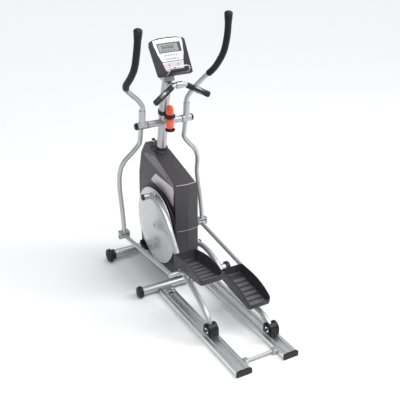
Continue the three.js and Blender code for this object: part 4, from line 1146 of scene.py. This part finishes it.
class TRAINER_OT_console(bpy.types.Operator):
    """Builds the console: housing, silver face, display, keys, reading ledge and wire rack"""

    bl_idname = "trainer.console"
    bl_label = "Console"

    def execute(self, context):
        w, h = CONSOLE_W / 2, CONSOLE_H / 2
        bm = bmesh.new()
        right = [(w - 0.006, -h), (w, h - 0.012), (w / 2, h + 0.0015), (0.002, h + 0.003)]
        outline = rounded(mirrored(right), both_ways([0.012, 0.016, 0.05, 0.0]), 8)
        add_plate(bm, outline, -0.018, -0.0005)
        add_plate(bm, [(x * 0.93, y * 0.93) for x, y in outline], -CONSOLE_D, -0.016)
        finish_mesh(
            "Console housing", bm, "black", "frame", ("console_housing",), 0.004, 4
        )
        bm = bmesh.new()
        add_rectangle(bm, -0.054, 0.054, -h, -h + 0.0055, -0.006, 0.046, 0.002)
        add_rectangle(bm, -0.054, 0.054, -h, -h + 0.018, 0.0425, 0.046, 0.004, 4)
        finish_mesh("Reading ledge", bm, "black", "frame", (), 0.0008)
        self.face()
        self.wires(h)
        return {"FINISHED"}

    def face(self):
        right = [
            (0.052, -0.084), (0.058, -0.072), (0.066, -0.027), (0.080, 0.012), (0.084, 0.040),
            (0.090, 0.066), (0.090, 0.097), (0.046, 0.103), (0.002, 0.1045),
        ]
        corners = both_ways([0.006, 0.006, 0.03, 0.03, 0.03, 0.02, 0.008, 0.05, 0])
        bm = bmesh.new()
        add_plate(bm, rounded(mirrored(right), corners, 6), -0.004, 0.0006)
        finish_mesh("Console face", bm, "face", "frame", ("console_face",), 0.0005)
        bm = bmesh.new()
        frame_outline = rounded(
            [(-0.068, 0.022), (0.072, 0.022), (0.074, 0.079), (-0.071, 0.079)], 0.004, 6
        )
        add_plate(bm, frame_outline, 0.0002, 0.0013)
        finish_mesh("Display surround", bm, "ink", "frame", (), 0.0005)
        bm = bmesh.new()
        add_plate(
            bm, rounded([(-0.064, 0.026), (0.054, 0.026), (0.055, 0.073), (-0.066, 0.073)], 0.002, 3),
            0.0008, 0.0017
        )
        finish_mesh("Display", bm, "screen", "frame", ("console_lcd",), 0.0003)
        bm = bmesh.new()
        for row, (count, tall) in enumerate(((5, 0.004), (4, 0.010), (5, 0.004))):
            for col in range(count):
                x = -0.008 + 0.018 * (col - (count - 1) / 2)
                y = 0.033 + 0.013 * row
                add_rectangle(bm, x - 0.006, x + 0.006, y, y + tall, 0.0017, 0.0018)
        finish_mesh("Display segments", bm, "ink", "frame")
        bm = bmesh.new()
        lower = mirrored([(0.049, -0.081), (0.055, -0.070), (0.061, -0.038), (0.002, -0.036)])
        add_plate(bm, rounded(lower, both_ways([0.005, 0.005, 0.006, 0]), 5), 0.0003, 0.0012)
        finish_mesh("Key panel", bm, "lower", "frame", (), 0.0004)
        bm = bmesh.new()
        add_plate(
            bm, [(-0.064, -0.0318), (0.064, -0.0318), (0.0645, -0.0286), (-0.0645, -0.0286)], 0.0004,
            0.0013
        )
        finish_mesh("Face line", bm, "ink", "frame")
        bm = bmesh.new()
        crown = mirrored([(0.088, 0.0885), (0.0885, 0.0955), (0.045, 0.1015), (0.002, 0.103)])
        add_plate(bm, rounded(crown, both_ways([0.002, 0.004, 0.05, 0]), 5), 0.0004, 0.0022)
        finish_mesh("Crown band", bm, "bright", "frame", (), 0.0006)
        bm = bmesh.new()
        for x in (-0.034, -0.017, 0.0, 0.017, 0.034):
            for y in (-0.020, 0.002):
                add_rectangle(bm, x - 0.006, x + 0.006, y, y + 0.010, 0.0003, 0.0014, 0.002)
        finish_mesh("Membrane keys", bm, "trim", "frame", (), 0.0005)
        for name, x, y, r, key in (
            ("button_start", 0, -0.066, 0.007, "red"),
            ("button_up", -0.028, -0.050, 0.006, "key"),
            ("button_down", 0.028, -0.050, 0.006, "key"),
        ):
            bm = bmesh.new()
            out = CONSOLE_TILT @ Vector((0, 0, 1))
            add_turned(bm, on_console(x, y, -0.010), out, [
                (0, 0), (0, r), (0.0112, r), (0.0122, r - 0.001), (0.0127, r - 0.003), (0.0125, 0),
            ], 40)
            finish_mesh(
                name.replace("_", " ").capitalize(), bm, key, name,
                (name,)
            )

    def wires(self, h):
        low = -h + 0.004
        left = [
            (-0.060, low, 0.001), (-0.062, low - 0.001, 0.030), (-0.062, low + 0.004, 0.050),
            (-0.059, low + 0.014, 0.058), (-0.050, low + 0.020, 0.060),
        ]
        path = left + [(0, low + 0.021, 0.060)] + [(-x, y, z) for x, y, z in reversed(left)]
        bm = bmesh.new()
        add_tube(bm, spline([on_console(*p) for p in path], 80), 0.0025, 16)
        finish_mesh("Wire rack", bm, "chrome", "frame", ("rack_wire",))


# ---------------------------------------------------------------- legs, rollers and crank pins

LEG_PATH = [
    (0.006, 0.002), (0.046, 0.020), (0.100, 0.030), (0.165, 0.024), (0.240, 0.012), (0.300, -0.003),
    (0.355, -0.016),
    (0.410, -0.017), (0.470, -0.001), (0.540, 0.024), (0.620, 0.052), (0.700, 0.065), (0.780, 0.059),
    (0.850, 0.030),
    (0.889, 0.003),
]
LEG_R = 0.0165
PEDAL_PIVOT_ALONG, PEDAL_PIVOT_ABOVE = 0.345, 0.059


class TRAINER_OT_legs(bpy.types.Operator):
    """Builds the bent legs, their crank pin barrels, rollers and roller covers"""

    bl_idname = "trainer.legs"
    bl_label = "Legs and rollers"

    def execute(self, context):
        for link in LINKAGES:
            self.leg(link)
            self.roller(link)
            self.cover(link)
        return {"FINISHED"}

    def leg(self, link):
        s, name = link.side, link.name
        body = f"leg_{name}"
        sides = sizes().tube_sides
        bm = bmesh.new()
        add_tube(bm, spline([link.in_leg(LEG_X, a, b) for a, b in LEG_PATH], 110), LEG_R, sides)
        barrel = [
            (0, 0.0098), (0, 0.016), (0.001, 0.017), (0.0105, 0.017), (0.0595 - 0.001, 0.017),
            (0.0595, 0.016), (0.0595, 0.0098)
        ]
        add_turned(bm, (s * 0.1305, *link.pin.yz), (s, 0, 0), barrel, 56)
        boss = [(0, 0.0088), (0, 0.014), (0.001, 0.015), (0.032, 0.015), (0.033, 0.014), (0.033, 0.0088)]
        for spot in (link.pedal_pivot, link.roller):
            add_turned(bm, (s * 0.1305, *spot.yz), (s, 0, 0), boss, 48)
        for x in (LEG_X - 0.0075, LEG_X + 0.0035):
            along, above = PEDAL_PIVOT_ALONG, PEDAL_PIVOT_ABOVE + 0.004
            web = rounded([
                (along - 0.046, 0.002), (along + 0.058, -0.008), (along + 0.013, above),
                (along - 0.013, above),
            ], [0, 0, 0.01, 0.01], 5)
            add_prism(bm, [link.in_leg(x, a, b) for a, b in web], (s * 0.004, 0, 0))
        finish_mesh(f"Leg {name}", bm, "silver", body, (f"leg_{name}",), 0.0007)
        bm = bmesh.new()
        cap = [
            (0, 0), (0, 0.019), (0.0015, 0.020), (0.007, 0.020), (0.0095, 0.0175), (0.0105, 0.013),
            (0.0105, 0.007), (0.0095, 0.006), (0.0095, 0),
        ]
        add_turned(bm, (s * 0.1904, *link.pin.yz), (s, 0, 0), cap, 48)
        finish_mesh(
            f"Crank pin cap {name}", bm, "black", body, (f"crank_pin_{name}",), 0.0005
        )

    def roller(self, link):
        name = link.name
        r = 0.034
        tyre = [(-0.0265, 0.0056), (-0.0265, 0.014), (-0.0255, 0.016), (-0.0255, 0.026), (-0.0265, 0.028),
                (-0.0265, r - 0.003), (-0.0255, r - 0.0006), (-0.0245, r), (-0.0195, r),
                (-0.0185, r - 0.0006),
                (-0.0175, r - 0.003), (-0.0175, 0.012), (-0.0170, 0.009)]
        profile = tyre + [(-a, b) for a, b in reversed(tyre)]
        bm = bmesh.new()
        add_turned(bm, link.roller, (1, 0, 0), profile, 72)
        finish_mesh(f"Roller {name}", bm, "rubber", f"roller_{name}", (f"roller_{name}",))

    def cover(self, link):
        """Arched black cover with a slot for the leg, and the plates and bolt heads of its axle."""
        name = link.name
        centre = link.roller
        half, spring, low = 0.0365, 0.003, 0.044
        outer, wall, slot = 0.0285, 0.003, 0.0185
        arch = [(-half, low - centre.z)]
        for k in range(33):
            turn = math.pi - math.pi * k / 32
            arch.append((half * math.cos(turn), spring + half * math.sin(turn)))
        arch.append((half, low - centre.z))
        small = (half - wall) / half
        inner = [(small * y, z if z < spring else spring + (z - spring) * small) for y, z in arch]
        bm = bmesh.new()
        for x0, x1 in ((-outer, -slot), (slot, outer)):
            add_prism(
                bm, [(centre.x + x0, centre.y + y, centre.z + z) for y, z in arch + inner[::-1]],
                (x1 - x0, 0, 0)
            )
        for x0, x1 in ((-outer, -outer + wall), (outer - wall, outer)):
            add_prism(bm, [(centre.x + x0, centre.y + y, centre.z + z) for y, z in arch], (x1 - x0, 0, 0))
        rear, rear_in = ([(y, z) for y, z in line if y < -0.006] for line in (arch, inner))
        for x0, x1 in (
            (-slot - 0.001, slot + 0.001), (-0.024, -0.020), (-0.012, -0.008), (-0.001, 0.003),
            (0.010, 0.014), (0.022, 0.026)
        ):
            grow = 1.0 if x1 - x0 > 0.01 else 1.03
            ring = [(y * grow, z * grow) for y, z in rear] + rear_in[::-1]
            add_prism(bm, [(centre.x + x0, centre.y + y, centre.z + z) for y, z in ring], (x1 - x0, 0, 0))
        finish_mesh(
            f"Roller cover {name}", bm, "black", f"carriage_{name}",
            (f"roller_cover_{name}",), 0.001, 2
        )
        for label, key, radius, height, base in (
            ("Axle plates", "bright", 0.0165, 0.0022, outer),
            ("Axle bolt heads", "black", 0.0075, 0.0060, outer + 0.002),
        ):
            bm = bmesh.new()
            for end in (-1, 1):
                profile = [
                    (0, 0), (0, radius), (height - 0.0008, radius), (height, radius - 0.001),
                    (height, 0)
                ]
                add_turned(bm, centre + Vector((end * (base - 0.0004), 0, 0)), (end, 0, 0), profile, 36)
            finish_mesh(f"{label} {name}", bm, key, f"carriage_{name}")


# ---------------------------------------------------------------- pedals and their links

PEDAL_X = 0.133
PEDAL_HALF = 0.0725
PEDAL_FRONT, PEDAL_REAR = 0.081, -0.239
PEDAL_LOW = 0.020
PEDAL_CORNER = 0.020
PEDAL_TOPS = [
    (-0.239, 0.048), (-0.231, 0.057), (-0.223, 0.066), (-0.196, 0.077), (-0.169, 0.086),
    (-0.125, 0.094), (-0.079, 0.098),
    (-0.040, 0.0965), (0.000, 0.093), (0.040, 0.088), (0.073, 0.084), (0.081, 0.079),
]


def pedal_top(u):
    """Height of the pedal's wall at a distance along it."""
    for (u0, v0), (u1, v1) in zip(PEDAL_TOPS, PEDAL_TOPS[1:]):
        if u <= u1:
            return v0 + (v1 - v0) * (u - u0) / (u1 - u0)
    return PEDAL_TOPS[-1][1]


def pedal_outline(inset):
    """The pedal's rounded plan, set in, with its long sides split so that a height can vary along them."""
    half, rear, front = PEDAL_HALF - inset, PEDAL_REAR + inset, PEDAL_FRONT - inset
    corners = [(-half, rear), (half, rear), (half, front), (-half, front)]
    points = rounded(corners, max(PEDAL_CORNER - inset, 0.004), 8)
    out = []
    for a, b in zip(points, points[1:] + points[:1]):
        cuts = 16 if (b - a).length > 0.2 else 1
        out += [a.lerp(b, k / cuts) for k in range(cuts)]
    return out


class TRAINER_OT_pedals(bpy.types.Operator):
    """Builds the tread trays and the links that carry them"""

    bl_idname = "trainer.pedals"
    bl_label = "Pedals and links"

    def execute(self, context):
        for link in LINKAGES:
            self.tray(link)
            self.tread(link)
            self.bar(link)
        return {"FINISHED"}

    def tray(self, link):
        """Moulded tray: a rounded rectangle whose wall rises towards the toe."""
        outlines = []
        floor = PEDAL_LOW + 0.006
        for depth, height, offset in (
            (0.004, "low", 0.0), (0.0012, "low", 0.003), (0.0, "top", -0.010), (0.0, "top", -0.002),
            (0.0008, "top", -0.0004), (0.0025, "top", 0.0), (0.0042, "top", -0.0006),
            (0.005, "top", -0.0025),
            (0.0062, "floor", 0.004), (0.010, "floor", 0.0),
        ):
            ring = []
            for x, u in pedal_outline(depth):
                v = {"low": PEDAL_LOW, "top": pedal_top(u), "floor": floor}[height] + offset
                ring.append(link.in_link(PEDAL_X + x, u, v))
            outlines.append(ring)
        bm = bmesh.new()
        rings = [[bm.verts.new(p) for p in ring] for ring in outlines]
        count = len(rings[0])
        for a, b in zip(rings, rings[1:]):
            for k in range(count):
                n = (k + 1) % count
                bm.faces.new((a[k], a[n], b[n], b[k]))
        bm.faces.new(rings[0])
        bm.faces.new(rings[-1])
        name = link.name
        finish_mesh(
            f"Pedal tray {name}", bm, "pedal", f"pedal_{name}", (f"pedal_{name}",),
            0.0, sharp=50
        )

    def tread(self, link):
        """Grey tread plate with raised ribs across it."""
        bm = bmesh.new()
        floor = PEDAL_LOW + 0.0058
        half = PEDAL_HALF - 0.011
        rear, front = PEDAL_REAR + 0.012, PEDAL_FRONT - 0.022
        plate = rounded([(-half, rear), (half, rear), (half, front), (-half, front)], 0.012, 6)
        lift = link.in_link(0, 0, 0.0014) - link.in_link(0, 0, 0)
        add_prism(bm, [link.in_link(PEDAL_X + x, u, floor) for x, u in plate], lift)
        name = link.name
        finish_mesh(f"Pedal tread {name}", bm, "pedal", f"pedal_{name}", (), 0.0009)
        bm = bmesh.new()
        count = sizes().pedal_ribs
        rise = link.in_link(0, 0, 0.0036) - link.in_link(0, 0, 0)
        pitch = (PEDAL_FRONT - PEDAL_REAR - 0.075) / count
        reach = half - 0.007
        for k in range(count):
            u = PEDAL_REAR + 0.026 + pitch * k
            far = u + pitch * 0.64
            rib = rounded([(-reach, u), (reach, u), (reach, far), (-reach, far)], 0.006, 4)
            add_prism(bm, [link.in_link(PEDAL_X + x, v, floor) for x, v in rib], rise)
        finish_mesh(f"Pedal ribs {name}", bm, "tread", f"pedal_{name}", (), 0.0012, 3)

    def bar(self, link):
        s, name = link.side, link.name
        sides = sizes().tube_sides
        q, joint = link.pedal_pivot.yz, link.joint
        bm = bmesh.new()
        add_tube(bm, [(s * LINK_X, *q), (s * LINK_X, *joint)], 0.0125, sides)
        add_turned(
            bm, (s * 0.1641, *q), (s, 0, 0),
            [(0, 0.0085), (0, 0.013), (0.001, 0.014), (0.1055, 0.014), (0.1079, 0.0125), (0.1079, 0)],
            48
        )
        add_turned(
            bm, (s * 0.2353, *joint), (s, 0, 0),
            [(0, 0), (0, 0.015), (0.001, 0.016), (0.0504, 0.016), (0.0514, 0.015), (0.0514, 0)], 48
        )
        add_turned(bm, (s * 0.131, *q), (s, 0, 0), [(0, 0), (0, 0.008), (0.036, 0.008)], 32)
        deck = [(0.060, 0.0156), (0.060, 0.0196), (-0.200, 0.0196), (-0.200, 0.0156)]
        add_prism(bm, [link.in_link(0.078, u, v) for u, v in deck], (s * 0.117, 0, 0))
        rib = [(0.030, 0.001), (0.030, 0.018), (-0.060, 0.018), (-0.020, 0.001)]
        add_prism(bm, [link.in_link(0.1675, u, v) for u, v in rib], (s * 0.0275, 0, 0))
        finish_mesh(
            f"Pedal link {name}", bm, "silver", f"pedal_{name}",
            (f"pedal_link_{name}",), 0.0008
        )


# ---------------------------------------------------------------- swing arms and moving handlebars

LOWER_ARM_PATH = [
    (0.146, 0.006, -0.008), (0.146, 0.019, -0.070), (0.148, 0.030, -0.128), (0.186, 0.038, -0.182),
    (0.236, 0.049, -0.240),
    (0.258, 0.058, -0.300), (0.261, 0.069, -0.396), (0.261, 0.052, -0.480), (0.261, 0.032, -0.545),
    (0.261, 0.005, -0.660),
    (0.261, 0.000, -0.7098),
]
HANDLEBAR_PATH = [
    (0.147, -0.005, 0.076), (0.1475, -0.006, 0.100), (0.148, -0.007, 0.122), (0.176, -0.012, 0.166),
    (0.222, -0.019, 0.212), (0.262, -0.034, 0.254), (0.282, -0.080, 0.300), (0.285, -0.140, 0.362),
    (0.286, -0.194, 0.438), (0.287, -0.222, 0.530), (0.286, -0.231, 0.600), (0.285, -0.233, 0.652),
]
GRIP_FROM = 5


class TRAINER_OT_arms(bpy.types.Operator):
    """Builds the swing arms, the moving handlebars and their foam grips"""

    bl_idname = "trainer.arms"
    bl_label = "Swing arms"

    def execute(self, context):
        for link in LINKAGES:
            self.lower(link)
            self.upper(link)
            self.grip(link)
        return {"FINISHED"}

    def lower(self, link):
        s, name = link.side, link.name
        body = f"arm_{name}"
        sides = sizes().tube_sides
        bm = bmesh.new()
        add_tube(bm, spline([link.in_arm(*p) for p in LOWER_ARM_PATH], 90), 0.014, sides)
        add_turned(bm, (s * 0.113, *PIVOT.yz), (s, 0, 0), [
            (0, 0.0125), (0, 0.0195), (0.0012, 0.021), (0.0658, 0.021), (0.067, 0.0195), (0.067, 0.0125),
        ], 64)
        low, top = link.in_arm(0.146, 0, 0.006), link.in_arm(0.1475, -0.006, 0.100)
        length = (top - low).length
        add_turned(bm, low, (top - low), [
            (0, 0), (0, 0.0195), (length - 0.0015, 0.0195), (length - 0.0003, 0.0185), (length, 0.0150),
            (length - 0.012, 0.0150),
        ], 48)
        cheek, inside = 0.0057, 0.0263
        for end in (-1, 1):
            near = ARM_X + end * inside
            far = ARM_X + end * (inside + cheek)
            outline = [link.in_arm(near, a, b) for a, b in self.cheek_outline()]
            add_prism(bm, outline, (s * (far - near), 0, 0))
        low, high = -ARM_LENGTH + 0.028, -ARM_LENGTH + 0.034
        yoke = [(-0.020, low), (0.020, low), (0.020, high), (-0.020, high)]
        out = inside + cheek
        add_prism(bm, [link.in_arm(ARM_X - out, a, b) for a, b in yoke], (s * 2 * out, 0, 0))
        finish_mesh(f"Lower arm {name}", bm, "silver", body, (f"lower_arm_{name}",), 0.0012)
        bm = bmesh.new()
        add_turned(bm, (s * 0.1805, *PIVOT.yz), (s, 0, 0), [
            (0, 0), (0, 0.0198), (0.001, 0.020), (0.006, 0.0198), (0.0095, 0.017), (0.0108, 0.012),
            (0.011, 0.006), (0.011, 0),
        ], 56)
        finish_mesh(f"Pivot cap {name}", bm, "black", body, (f"pivot_cap_{name}",))
        bm = bmesh.new()
        for x in (0.1132, 0.1762):
            add_turned(
                bm, (s * x, *PIVOT.yz), (s, 0, 0),
                [(0, 0.0208), (0, 0.0218), (0.0038, 0.0218), (0.0038, 0.0208)], 64
            )
        finish_mesh(f"Pivot seals {name}", bm, "black", body, (), 0.0003)
        bm = bmesh.new()
        for end in (-1, 1):
            x = ARM_X + end * (inside + cheek - 0.0006)
            add_turned(
                bm, (s * x, *link.joint), (s * end, 0, 0),
                [(0, 0), (0, 0.0125), (0.0004, 0.0125), (0.0006, 0.0115), (0.0006, 0)], 48
            )
        finish_mesh(f"Fork bolt caps {name}", bm, "black", body)

    def cheek_outline(self):
        base = -ARM_LENGTH
        points = [(0.018, base + 0.034), (-0.018, base + 0.034)]
        for k in range(17):
            turn = math.pi + math.pi * k / 16
            points.append((0.018 * math.cos(turn), base + 0.018 * math.sin(turn)))
        return points

    def upper(self, link):
        name = link.name
        bm = bmesh.new()
        add_tube(bm, spline([link.in_arm(*p) for p in HANDLEBAR_PATH], 90), 0.0145, sizes().tube_sides)
        finish_mesh(
            f"Moving handlebar {name}", bm, "silver", f"arm_{name}",
            (f"moving_handlebar_{name}",)
        )

    def grip(self, link):
        name = link.name
        path = spline([link.in_arm(*p) for p in HANDLEBAR_PATH[GRIP_FROM:]], 96)[4:]
        radii = []
        for k in range(len(path)):
            share = k / (len(path) - 1)
            start = min(share / 0.012, 1.0)
            flare = max(0.0, (share - 0.86) / 0.14)
            radii.append(
                0.0155 + 0.0037 * start ** 0.5 + 0.0040 * math.sin(min(flare, 1.0) * math.pi / 2) ** 1.5
            )
        bm = bmesh.new()
        add_tube(bm, path, radii, 48)
        finish_mesh(
            f"Foam grip {name}", bm, "foam", f"arm_{name}", (f"moving_grip_{name}",),
            0.0006
        )
        ahead = (path[-1] - path[-3]).normalized()
        bm = bmesh.new()
        add_turned(bm, path[-1] - ahead * 0.010, ahead, [
            (0, 0.018), (0, 0.0234), (0.002, 0.0240), (0.008, 0.0240), (0.013, 0.0225),
            (0.0175, 0.0185), (0.0205, 0.0130),
            (0.0220, 0.0065), (0.0224, 0),
        ], 64)
        finish_mesh(f"Grip end {name}", bm, "black", f"arm_{name}")


# ---------------------------------------------------------------- studio

class TRAINER_OT_stage(bpy.types.Operator):
    """Sets the floor, the lights and the camera"""

    bl_idname = "trainer.stage"
    bl_label = "Studio"

    def execute(self, context):
        scene = context.scene
        bpy.ops.mesh.primitive_plane_add(size=40, location=(0, 0, -0.0005))
        floor = context.active_object
        floor.name = "Studio floor"
        paper = bpy.data.materials.new("Studio paper")
        paper.use_nodes = True
        principled = paper.node_tree.nodes["Principled BSDF"]
        principled.inputs["Base Color"].default_value = (0.86, 0.86, 0.86, 1)
        principled.inputs["Roughness"].default_value = 0.9
        floor.data.materials.append(paper)
        world = bpy.data.worlds.new("Studio")
        world.use_nodes = True
        world.node_tree.nodes["Background"].inputs["Color"].default_value = (0.95, 0.96, 1.0, 1)
        world.node_tree.nodes["Background"].inputs["Strength"].default_value = 0.5
        scene.world = world
        for name, place, aim, size, power in (
            ("Key softbox", (-1.6, -2.6, 4.0), (0, 0, 0.6), 1.4, 40),
            ("Right softbox", (3.4, -1.6, 3.0), (0, 0, 0.8), 1.2, 60),
        ):
            light = bpy.data.lights.new(name, "AREA")
            light.size = size
            light.energy = power
            lamp = bpy.data.objects.new(name, light)
            lamp.location = place
            lamp.rotation_euler = (Vector(aim) - Vector(place)).to_track_quat("-Z", "Y").to_euler()
            scene.collection.objects.link(lamp)
        sky = bpy.data.lights.new("Ceiling light", "SUN")
        sky.energy = 2.0
        sky.angle = math.radians(50)
        lamp = bpy.data.objects.new("Ceiling light", sky)
        lamp.rotation_euler = (math.radians(14), math.radians(20), 0)
        scene.collection.objects.link(lamp)
        lens = bpy.data.cameras.new("Camera")
        lens.sensor_width = 36
        lens.lens = 63.65
        camera = bpy.data.objects.new("Camera", lens)
        camera.location = (-1.765, -3.135, 2.395)
        heading = Matrix.Rotation(math.radians(-29.353), 4, "Z")
        pitch = Matrix.Rotation(math.radians(90 - 25.687), 4, "X")
        camera.matrix_world = Matrix.Translation(camera.location) @ heading @ pitch
        scene.collection.objects.link(camera)
        scene.camera = camera
        scene.view_settings.view_transform = "Standard"
        return {"FINISHED"}


class TRAINER_PT_panel(bpy.types.Panel):
    """Sizes, colours and the pieces in building order"""

    bl_idname = "TRAINER_PT_panel"
    bl_label = "Elliptical Trainer"
    bl_space_type = "VIEW_3D"
    bl_region_type = "UI"
    bl_category = "Trainer"

    def draw(self, context):
        for group in (context.scene.trainer_sizes, context.scene.trainer_finishes):
            for name in group.bl_rna.properties.keys():
                if name not in {"rna_type", "name"}:
                    self.layout.prop(group, name)
        for operator in OPERATORS:
            self.layout.operator(operator.bl_idname)


OPERATORS = [
    TRAINER_OT_materials, TRAINER_OT_stage, TRAINER_OT_base, TRAINER_OT_shroud, TRAINER_OT_mast,
    TRAINER_OT_bottle,
    TRAINER_OT_console, TRAINER_OT_legs, TRAINER_OT_pedals, TRAINER_OT_arms,
]
CLASSES = [TrainerFinishes, TrainerSizes, TRAINER_PT_panel, *OPERATORS]


def register():
    for cls in CLASSES:
        bpy.utils.register_class(cls)
    bpy.types.Scene.trainer_finishes = PointerProperty(type=TrainerFinishes)
    bpy.types.Scene.trainer_sizes = PointerProperty(type=TrainerSizes)


def unregister():
    del bpy.types.Scene.trainer_sizes
    del bpy.types.Scene.trainer_finishes
    for cls in reversed(CLASSES):
        bpy.utils.unregister_class(cls)


def main():
    register()
    for operator in OPERATORS:
        group, name = operator.bl_idname.split(".")
        getattr(getattr(bpy.ops, group), name)()
    bpy.context.view_layer.update()


if __name__ == "__main__":
    main()
